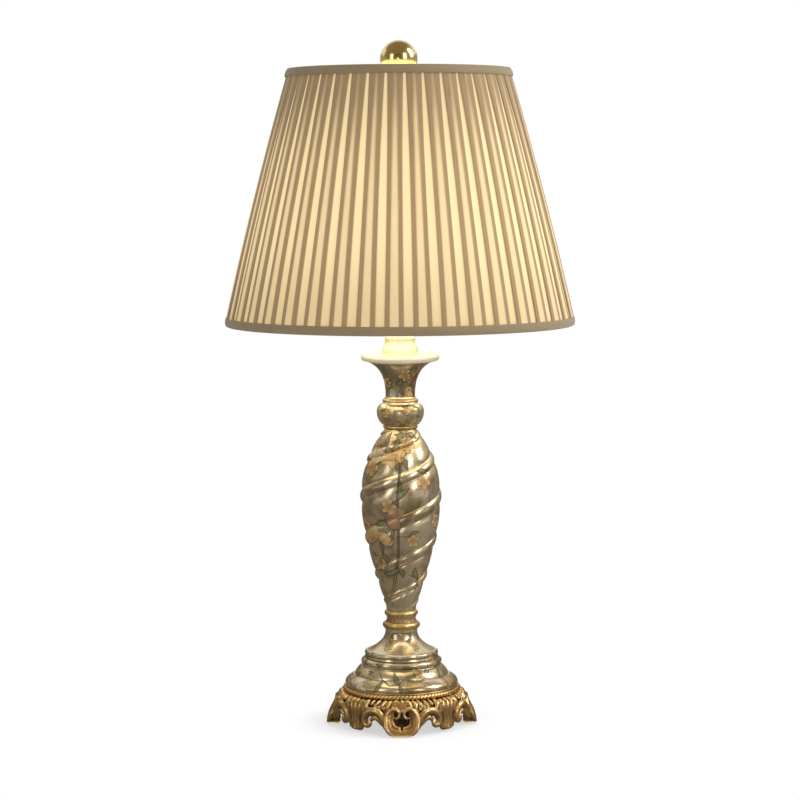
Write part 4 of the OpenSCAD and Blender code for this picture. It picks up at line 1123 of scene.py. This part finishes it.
class LAMP_OT_rope(bpy.types.Operator):
    """Lays the two-strand rope moulding round the top of the casting"""

    bl_idname = "lamp.rope"
    bl_label = "Rope Moulding"

    def section(self, rope):
        """Each corner's place outwards and upwards from the rope's middle."""
        points = corners_of(rope)
        return np.hypot(points[:, 0], points[:, 1]) - ROPE_R, points[:, 2] - ROPE_Z

    def execute(self, context):
        lays, rounds, sides = 92, 10, 14
        clear_selection()
        bpy.ops.mesh.primitive_torus_add(
            major_segments=lays * rounds, minor_segments=sides, major_radius=0.0705, minor_radius=0.003,
            location=(0, 0, 0.0448),
        )
        rope = bpy.context.object
        rope.name = "rope_twisted"
        only(rope)
        bpy.ops.object.transform_apply(location=True, rotation=True, scale=True)
        points = corners_of(rope)
        angle = np.arctan2(points[:, 1], points[:, 0])
        reach, rise = self.section(rope)
        b = np.arctan2(rise, reach)
        twist = b - angle * lays / 2
        r = STRAND_R * (0.66 + 0.34 * np.abs(np.cos(twist)) ** 0.75)
        reach, rise = ROPE_R + r * np.cos(b), ROPE_Z + r * np.sin(b)
        move_corners(rope, np.stack([reach * np.cos(angle), reach * np.sin(angle), rise], axis=1))
        heal(rope)
        store(rope, "hollow", 1.3 - (np.hypot(*self.section(rope)) - 2.05) / 1.05 * 2.6)
        sizes = context.scene.lamp_foot
        # A lighter copy of the casting's gold, partly painted light on the rope's beads
        gold = gilding("gilt_rope", tuple(channel * 1.3 for channel in sizes.gold), tuple(sizes.patina))
        dress(rope, "column", gold, ["rope_moulding"], 180)
        return {"FINISHED"}


# ---- Operators: the shade


# Stations across half a pleat, as (kind, share of the way); the other half mirrors them
HALF_PLEAT = (
    ("recess", 0), ("recess", 0.86), ("hidden", 0.1), ("hidden", 0.55), ("hidden", 0.96), ("turn", 0),
    ("back", 0.96), ("back", 0.5), ("back", 0.12), ("fold", 0), ("face", 0.07), ("face", 0.45),
    ("face", 0.8), ("edge", -0.5), ("edge", 0.5), ("middle", 0.5), ("middle", 1.0),
)


class LAMP_OT_pleats(bpy.types.Operator):
    """Folds one strip of cloth into box pleats over the shade's slope"""

    bl_idname = "lamp.pleats"
    bl_label = "Pleated Cloth"

    def execute(self, context):
        sizes = context.scene.lamp_shade
        count, cloth = sizes.pleats, sizes.fabric / MM
        rows = 30
        pick = random.Random(12)
        uneven = np.array([[pick.uniform(-1, 1) for _ in range(4)] for _ in range(count)])
        stations = [(kind, share, 1) for kind, share in HALF_PLEAT]
        stations += [(kind, share, -1) for kind, share in HALF_PLEAT[-2:0:-1]]
        per = len(stations)
        cols = per * count
        low, high = SHADE_Z + 1.6, SHADE_TOP - 1.6
        facts = {}

        def place(row, col):
            z = low + (high - low) * row / (rows - 1)
            t = (z - SHADE_Z) / SHADE_H
            r = pleat_r(z) - 0.12
            pitch = 2 * np.pi * r / count
            heights, widths = (0, 0.25, 0.5, 0.7, 0.83, 0.95, 1), (11.6, 11.0, 9.8, 8.0, 6.0, 3.4, 2.4)
            width = np.interp(t, heights, widths)
            under = np.minimum((cloth - pitch) / 4, (pitch - width) / 2 - 0.4)
            dark = np.interp(t, (0, 0.5, 0.83, 0.95, 1), (6.0, 5.4, 6.4, 8.6, 9.2))
            pleat, station = col // per, col % per
            wave = uneven[pleat]
            width = width + wave[:, 0] * 0.35 + wave[:, 1] * 0.3 * np.sin(3.0 * t + wave[:, 2] * 3)
            s, depth, lit = np.zeros(len(row)), np.zeros(len(row)), np.zeros(len(row))
            box = pitch - width
            for k, (kind, share, side) in enumerate(stations):
                m = station == k
                w, u, b, h = width[m] / 2, under[m], box[m] / 2, t[m]
                fades = 0.35 + 0.65 * smoothstep(0.98, 0.72, h + wave[m, 3] * 0.06)
                if kind == "recess":
                    at, down, glow = w * share, 2.05, 1.0
                elif kind == "hidden":
                    at, down, glow = w + u * share, 2.05, 0.2
                elif kind == "turn":
                    at, down, glow = w + u, 1.6, 0.1
                elif kind == "back":
                    at, down, glow = w + u * share, 1.15, 0.1
                elif kind == "fold":
                    at, down, glow = w, 0.6, 0.08
                elif kind == "face":
                    at = w + np.minimum(dark[m] * share, b)
                    down, glow = 0.1, 0.02
                elif kind == "edge":
                    at = w + np.minimum(dark[m] + mix(0.5, 3.4, h) * (share + 0.15 * wave[m, 1]), b - 0.3)
                    down, glow = 0.05, 0.03 if share < 0 else mix(0.84, 0.5, h) * fades
                else:
                    at = mix(w + np.minimum(dark[m] + mix(0.25, 1.7, h), b - 0.3), w + b, share)
                    down, glow = -0.05, mix(0.9, 0.62, h) * fades
                s[m] = side * at if side > 0 else pitch[m] - at
                depth[m] = down
                lit[m] = glow
            facts["lit"], facts["height"] = lit, t
            a = np.radians(360 / count * (pleat + 0.3) - 90) + s / r
            q = r - depth
            return np.stack([q * np.cos(a), q * np.sin(a), z], axis=1)

        cloth_obj = wrapped("pleated_cloth", rows, cols, place, facts)
        thick = cloth_obj.modifiers.new("cloth", "SOLIDIFY")
        thick.thickness, thick.offset = 0.00022, -1
        apply_all(cloth_obj)
        dress(cloth_obj, "shade", pleated_cloth(sizes), ["pleated_fabric"], 50)
        return {"FINISHED"}


class LAMP_OT_trims(bpy.types.Operator):
    """Turns the folded cloth trims at the top and bottom edges, and the lining inside"""

    bl_idname = "lamp.trims"
    bl_label = "Trims and Lining"

    def execute(self, context):
        sizes = context.scene.lamp_shade
        finish = trim_cloth(sizes)
        ring_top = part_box("top_ring")[0][0] / -MM
        ring_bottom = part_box("bottom_ring")[0][0] / -MM
        low = SHADE_TOP - TRIM_H[0]
        r_low, r_top = float(pleat_r(low)), float(pleat_r(SHADE_TOP))
        top_outline = [
            [r_low + 0.15, low], [r_low + 0.5, low - 0.1], [r_low + 1.2, low + 0.4],
            [r_low + 1.5, low + 1.6], [mix(r_low, r_top, 0.5) + 1.9, low + 6.5],
            [r_top + 2.0, SHADE_TOP - 2.2], [r_top + 1.7, SHADE_TOP - 0.9],
            [r_top + 0.9, SHADE_TOP - 0.15], [r_top - 0.4, SHADE_TOP],
            [ring_top - 3.2, SHADE_TOP - 0.1], [ring_top - 3.9, SHADE_TOP - 0.7],
            [ring_top - 3.9, SHADE_TOP - 2.0], [ring_top - 3.2, SHADE_TOP - 2.0],
            [ring_top - 2.9, SHADE_TOP - 1.3], [r_top - 1, SHADE_TOP - 1.2], [r_top, SHADE_TOP - 1.5],
            [r_low + 0.15, low],
        ]
        r = SHADE_R[1]
        end = SHADE_Z + TRIM_H[1]
        inner = ring_bottom - 5.2
        bottom_outline = [
            [r + 0.15, SHADE_Z + 1.2], [r + 0.15, end - 1.0], [r - 0.2, end], [r + 0.5, end - 0.7],
            [r + 1.1, end - 2.2], [r + 1.5, SHADE_Z + 5.6], [r + 1.3, SHADE_Z + 2.4],
            [r + 0.6, SHADE_Z + 0.7], [r - 0.8, SHADE_Z], [inner + 1.2, SHADE_Z],
            [inner + 0.3, SHADE_Z + 0.5], [inner, SHADE_Z + 2.8], [inner + 0.5, SHADE_Z + 3.2],
            [inner + 1.1, SHADE_Z + 2.8], [inner + 1.2, SHADE_Z + 1.2], [r + 0.15, SHADE_Z + 1.2],
        ]
        for name, outline, node in (
            ("top_trim_folded", top_outline, "top_trim"),
            ("bottom_trim_folded", bottom_outline, "bottom_trim"),
        ):
            obj = turned(name, outline, 180)
            dress(obj, "shade", finish, [node], 50)
        levels = np.linspace(SHADE_Z + 1.6, SHADE_TOP - 1.6, 14)
        outside = [(float(pleat_r(z)) - 3.8, float(z)) for z in levels]
        inside = [(r - 0.5, z) for r, z in outside]
        lining = turned("stiff_lining", outside + inside[::-1] + outside[:1], 160)
        dress(lining, "shade", lining_cloth(), ["shade_lining"], 50)
        return {"FINISHED"}


# ---- Operators: harp, bulb, finial


class LAMP_OT_harp(bpy.types.Operator):
    """Bends the harp's wire and turns its boss"""

    bl_idname = "lamp.harp"
    bl_label = "Harp"

    def execute(self, context):
        foot_x, half, out_r, back_r, shoulder = 28.0, 56.0, 22.0, 40.0, 50.0
        run = (half - foot_x - (out_r + back_r) * (1 - math.cos(math.pi / 4))) / math.sin(math.pi / 4)
        rise = (out_r + back_r) * math.sin(math.pi / 4) + run * math.cos(math.pi / 4)
        path_z = HARP_Z + 28
        leg = (
            [[foot_x, HARP_Z], [foot_x, HARP_Z + 14]]
            + arc((foot_x + out_r, path_z), out_r, 180, 135, 6)
            + arc((half - back_r, path_z + rise), back_r, -45, 0, 8)
            + arc((half - shoulder, HARP_TOP - 2.5 - shoulder), shoulder, 0, 90, 16)
        )
        path = [(x, 0, z) for x, z in leg] + [(-x, 0, z) for x, z in leg[::-1]]
        wire = tube("harp_bent_wire", path, [2.2] * len(path), 3)
        low, high = HARP_TOP - 5, HARP_TOP
        section = [(2.56, low), (7.2, low), (8, low + 0.8), (8, high - 0.8), (7.2, high), (2.56, high)]
        boss = turned("harp_boss", section + section[:1], 48)
        harp = joined("harp_bent_wire", [wire, boss])
        dress(harp, "harp", brass("harp_brass"), ["harp_wire"], 40)
        return {"FINISHED"}


class LAMP_OT_finial(bpy.types.Operator):
    """Turns the finial's ball and seat"""

    bl_idname = "lamp.finial"
    bl_label = "Finial"

    def execute(self, context):
        finish = polished_brass()
        ball_r = 23.0
        centre = BALL_TOP - ball_r
        flat = math.degrees(math.asin((SEAT_Z + 3 - centre) / ball_r))
        outline = [(3.2, SEAT_Z + 3)] + arc((0, centre), ball_r, flat, 90, 40)
        outline[-1] = (0.0, BALL_TOP)
        outline += [(0.0, SEAT_Z + 19), (3.2, SEAT_Z + 19), (3.2, SEAT_Z + 3)]
        ball = turned("finial_turned_ball", outline, 96)
        dress(ball, "finial", finish, ["finial_ball"], 40)
        edge = arc((7, SEAT_Z + 1.5), 1.5, -90, 90, 12)
        seat = [(3.2, SEAT_Z)] + edge + [(3.2, SEAT_Z + 3), (3.2, SEAT_Z)]
        ring = turned("finial_turned_seat", seat, 64)
        dress(ring, "finial", finish, ["finial_seat"], 40)
        return {"FINISHED"}


class LAMP_OT_bulb(bpy.types.Operator):
    """Blows the frosted bulb and rolls its threaded base"""

    bl_idname = "lamp.bulb"
    bl_label = "Bulb"

    def execute(self, context):
        h, wall = GLASS_TOP - GLASS_Z, 1.0
        outer = curve([[13.2, 0], [13.2, 0.24 * h], [30, h - 56], [30, h - 30]], 24)
        outer += arc((0, h - 30), 30, 4, 90, 24)
        outer[-1] = [0.0, h]
        inner = [(max(r - wall, 0.0), min(z, h - wall)) for r, z in outer[-2::-1]]
        section = [*outer, (0.0, h - wall), *inner, (13.2, 0)]
        glass = turned("bulb_blown_glass", [(r, GLASS_Z + z) for r, z in section], 96)
        dress(glass, "bulb", frosted(), ["bulb_glass"], 60)
        low, high = bottom("bulb_base"), top("bulb_base")
        rows, cols, pitches = 40, 72, 5.6

        def place(row, col):
            t = np.clip(row / (rows - 1), 0, 1)
            a = 2 * np.pi * col / cols
            fade = np.clip(np.minimum(t / 0.12, (0.82 - t) / 0.1), 0, 1)
            r = 12.75 + 0.42 * fade * np.cos(2 * np.pi * pitches * t - a)
            return np.stack([r * np.cos(a), r * np.sin(a), low + (high - low) * t], axis=1)

        base = wrapped("bulb_threaded_base", rows, cols, place)
        thick = base.modifiers.new("sheet", "SOLIDIFY")
        thick.thickness, thick.offset = 0.0004, -1
        apply_all(base)
        heal(base)
        dress(base, "bulb", bulb_metal(), ["bulb_base"], 50)
        return {"FINISHED"}


# The CAD nodes that stay as they are
BRASS_NODES = (
    "top_washer", "top_nut", "harp_saddle", "socket_cap", "socket_shell", "screw_shell", "centre_contact",
    "harp_stud", "left_ferrule", "right_ferrule", "spider", "top_ring", "bottom_ring",
)
ZINC_NODES = (
    "threaded_pipe", "bottom_washer", "bottom_nut", "cap_screw", "terminal_screws", "switch_shaft",
    "bulb_contact", "hub_washer",
)


class LAMP_OT_plain_nodes(bpy.types.Operator):
    """Gives the hidden fittings that stay as CAD nodes their finishes"""

    bl_idname = "lamp.plain_nodes"
    bl_label = "Fittings"

    def execute(self, context):
        finishes = (
            (brass(), BRASS_NODES),
            (zinc(), ZINC_NODES),
            (moulded("black_moulding", (0.012, 0.012, 0.012), 0.38), ("cord_bushing", "switch_knob")),
            (moulded("phenolic_core", (0.03, 0.016, 0.01), 0.4), ("socket_core",)),
            (moulded("bulb_insulator_glass", (0.015, 0.015, 0.02), 0.12), ("bulb_insulator",)),
            (moulded("bulb_stem_glass", (0.5, 0.5, 0.48), 0.15), ("bulb_stem",)),
            (iron(), ("weight_plate",)),
            (fibre(), ("socket_lining",)),
        )
        for finish, names in finishes:
            for name in names:
                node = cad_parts[name]
                node.data.materials.clear()
                node.data.materials.append(finish)
        return {"FINISHED"}


# ---- Stage


class LAMP_OT_stage(bpy.types.Operator):
    """Sets the floor, the soft studio lights, the white surround and the camera"""

    bl_idname = "lamp.stage"
    bl_label = "Studio"

    def area(self, name, place, target, size, watts):
        clear_selection()
        bpy.ops.object.light_add(type="AREA", location=place)
        lamp = bpy.context.object
        lamp.name = name
        lamp.data.shape = "RECTANGLE"
        lamp.data.size, lamp.data.size_y = size
        lamp.data.energy = watts
        lamp.rotation_euler = (Vector(target) - Vector(place)).to_track_quat("-Z", "Y").to_euler()
        return lamp

    def execute(self, context):
        clear_selection()
        bpy.ops.mesh.primitive_plane_add(size=14, location=(0, 0, 0))
        floor = bpy.context.object
        floor.name = "floor"
        f = Finish("pale_floor", base_color=(0.86, 0.87, 0.9), roughness=0.9)
        x, y, _ = f.axes()
        away = (x * x + y * y).power(0.5).step(88, 150)
        shine = f.node("ShaderNodeEmission", None, {"Color": (1, 1, 1, 1), "Strength": 1.0})
        share = f.show_white() * (0.6 + away * 0.4)
        ends = {0: share, 1: f.shader.outputs[0], 2: shine.outputs[0]}
        blend = f.node("ShaderNodeMixShader", None, ends)
        f.tree.links.new(blend.outputs[0], f.tree.nodes["Material Output"].inputs["Surface"])
        floor.data.materials.append(f.material)
        lights = [
            self.area("key_side", (2.3, 0.0, 2.0), (0, 0, 0.5), (0.9, 1.7), 46),
            self.area("front_right", (1.7, -2.1, 1.5), (0, 0, 0.45), (0.7, 1.5), 22),
            self.area("front_left", (-1.9, -1.9, 1.3), (0, 0, 0.4), (0.7, 1.5), 10),
            self.area("front_low", (-0.35, -3.6, 0.5), (0, 0, 0.3), (0.5, 0.9), 6),
            self.area("overhead", (0.2, 0.4, 2.9), (0, 0, 0.4), (1.8, 1.8), 14),
        ]
        clear_selection()
        bpy.ops.object.light_add(type="POINT", location=(0, 0, 0.65))
        glow = bpy.context.object
        glow.name = "bulb_light"
        glow.data.energy, glow.data.color, glow.data.shadow_soft_size = 0.6, (1.0, 0.93, 0.78), 0.031
        lights[-1].visible_glossy = False
        # Toned cards that only reflections see, so the metal has something darker than the white to show
        dim, brown, umber = (0.11, 0.09, 0.06), (0.27, 0.21, 0.12), (0.42, 0.33, 0.2)
        for name, place, turn, size, glint in (
            ("left", (-1.12, 1.05, 0.25), (90, 0, 56), (2.8, 0.6), dim),
            ("right", (1.12, 1.05, 0.25), (90, 0, -56), (2.8, 0.6), dim),
            ("left_high", (-1.12, 1.05, 0.85), (90, 0, 56), (2.8, 0.6), umber),
            ("right_high", (1.12, 1.05, 0.85), (90, 0, -56), (2.8, 0.6), umber),
            ("behind_camera", (0, -4.6, 1.2), (90, 0, 0), (7.0, 5.0), (0.14, 0.11, 0.07)),
            ("far_left", (-3.4, -1.9, 2.0), (90, 0, 90), (5.4, 2.8), brown),
            ("far_right", (3.4, -1.9, 2.0), (90, 0, 90), (5.4, 2.8), brown),
            ("low", (0, -0.4, 0.003), (0, 0, 0), (5.0, 5.4), dim),
            ("ceiling", (0, -1.2, 3.5), (0, 0, 0), (7.0, 7.0), brown),
        ):
            clear_selection()
            turn = [math.radians(v) for v in turn]
            bpy.ops.mesh.primitive_plane_add(size=1, location=place, rotation=turn)
            flag = bpy.context.object
            flag.name = "dark_card_" + name
            flag.scale = (*size, 1)
            near_black = (0.02, 0.016, 0.01)
            card = Finish(flag.name, base_color=near_black, emission_color=glint, emission_strength=1.0)
            flag.data.materials.append(card.material)
            flag.visible_camera = flag.visible_diffuse = False
            flag.visible_shadow = flag.visible_transmission = False
        world = bpy.data.worlds.new("white_surround")
        context.scene.world = world
        world.use_nodes = True
        surround = Nodes(world.node_tree)
        background = surround.tree.nodes["Background"]
        background.inputs["Color"].default_value = (1, 1, 1, 1)
        strength = 0.55 + surround.show_white() * 0.45
        surround.tree.links.new(strength.socket, background.inputs["Strength"])
        context.scene.view_settings.view_transform = "Standard"
        clear_selection()
        tilt = math.radians(90 - 5.302)
        bpy.ops.object.camera_add(location=(-0.0004, -3.094, 0.6932), rotation=(tilt, 0, 0))
        camera = bpy.context.object
        # The photograph leans a quarter of a degree
        lean = Matrix.Rotation(-0.0045, 3, "Z")
        camera.rotation_euler = (camera.rotation_euler.to_matrix() @ lean).to_euler()
        camera.data.lens, camera.data.sensor_width = 112.5, 36
        context.scene.camera = camera
        return {"FINISHED"}


class LAMP_PT_panel(bpy.types.Panel):
    """Lists the lamp's sizes and steps in the sidebar"""

    bl_label = "Pleated Table Lamp"
    bl_idname = "LAMP_PT_panel"
    bl_space_type = "VIEW_3D"
    bl_region_type = "UI"
    bl_category = "Lamp"

    def draw(self, context):
        for name in ("lamp_shade", "lamp_column", "lamp_foot"):
            group = getattr(context.scene, name)
            box = self.layout.box()
            for key in group.__annotations__:
                box.prop(group, key)
        for operator in OPERATORS:
            self.layout.operator(operator.bl_idname)


GROUPS = {"lamp_shade": ShadeSizes, "lamp_column": ColumnSizes, "lamp_foot": FootSizes}
OPERATORS = (
    LAMP_OT_plain_nodes, LAMP_OT_foot_casting, LAMP_OT_rope, LAMP_OT_column_rings, LAMP_OT_twisted_vase,
    LAMP_OT_harp, LAMP_OT_bulb, LAMP_OT_pleats, LAMP_OT_trims, LAMP_OT_finial, LAMP_OT_stage,
)


def register():
    for group in GROUPS.values():
        bpy.utils.register_class(group)
    for name, group in GROUPS.items():
        setattr(bpy.types.Scene, name, bpy.props.PointerProperty(type=group))
    for operator in OPERATORS:
        bpy.utils.register_class(operator)
    bpy.utils.register_class(LAMP_PT_panel)


def unregister():
    bpy.utils.unregister_class(LAMP_PT_panel)
    for operator in reversed(OPERATORS):
        bpy.utils.unregister_class(operator)
    for name, group in reversed(GROUPS.items()):
        delattr(bpy.types.Scene, name)
        bpy.utils.unregister_class(group)


def main():
    register()
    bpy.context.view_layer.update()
    for operator in OPERATORS:
        group, name = operator.bl_idname.split(".")
        getattr(getattr(bpy.ops, group), name)()


if __name__ == "__main__":
    main()
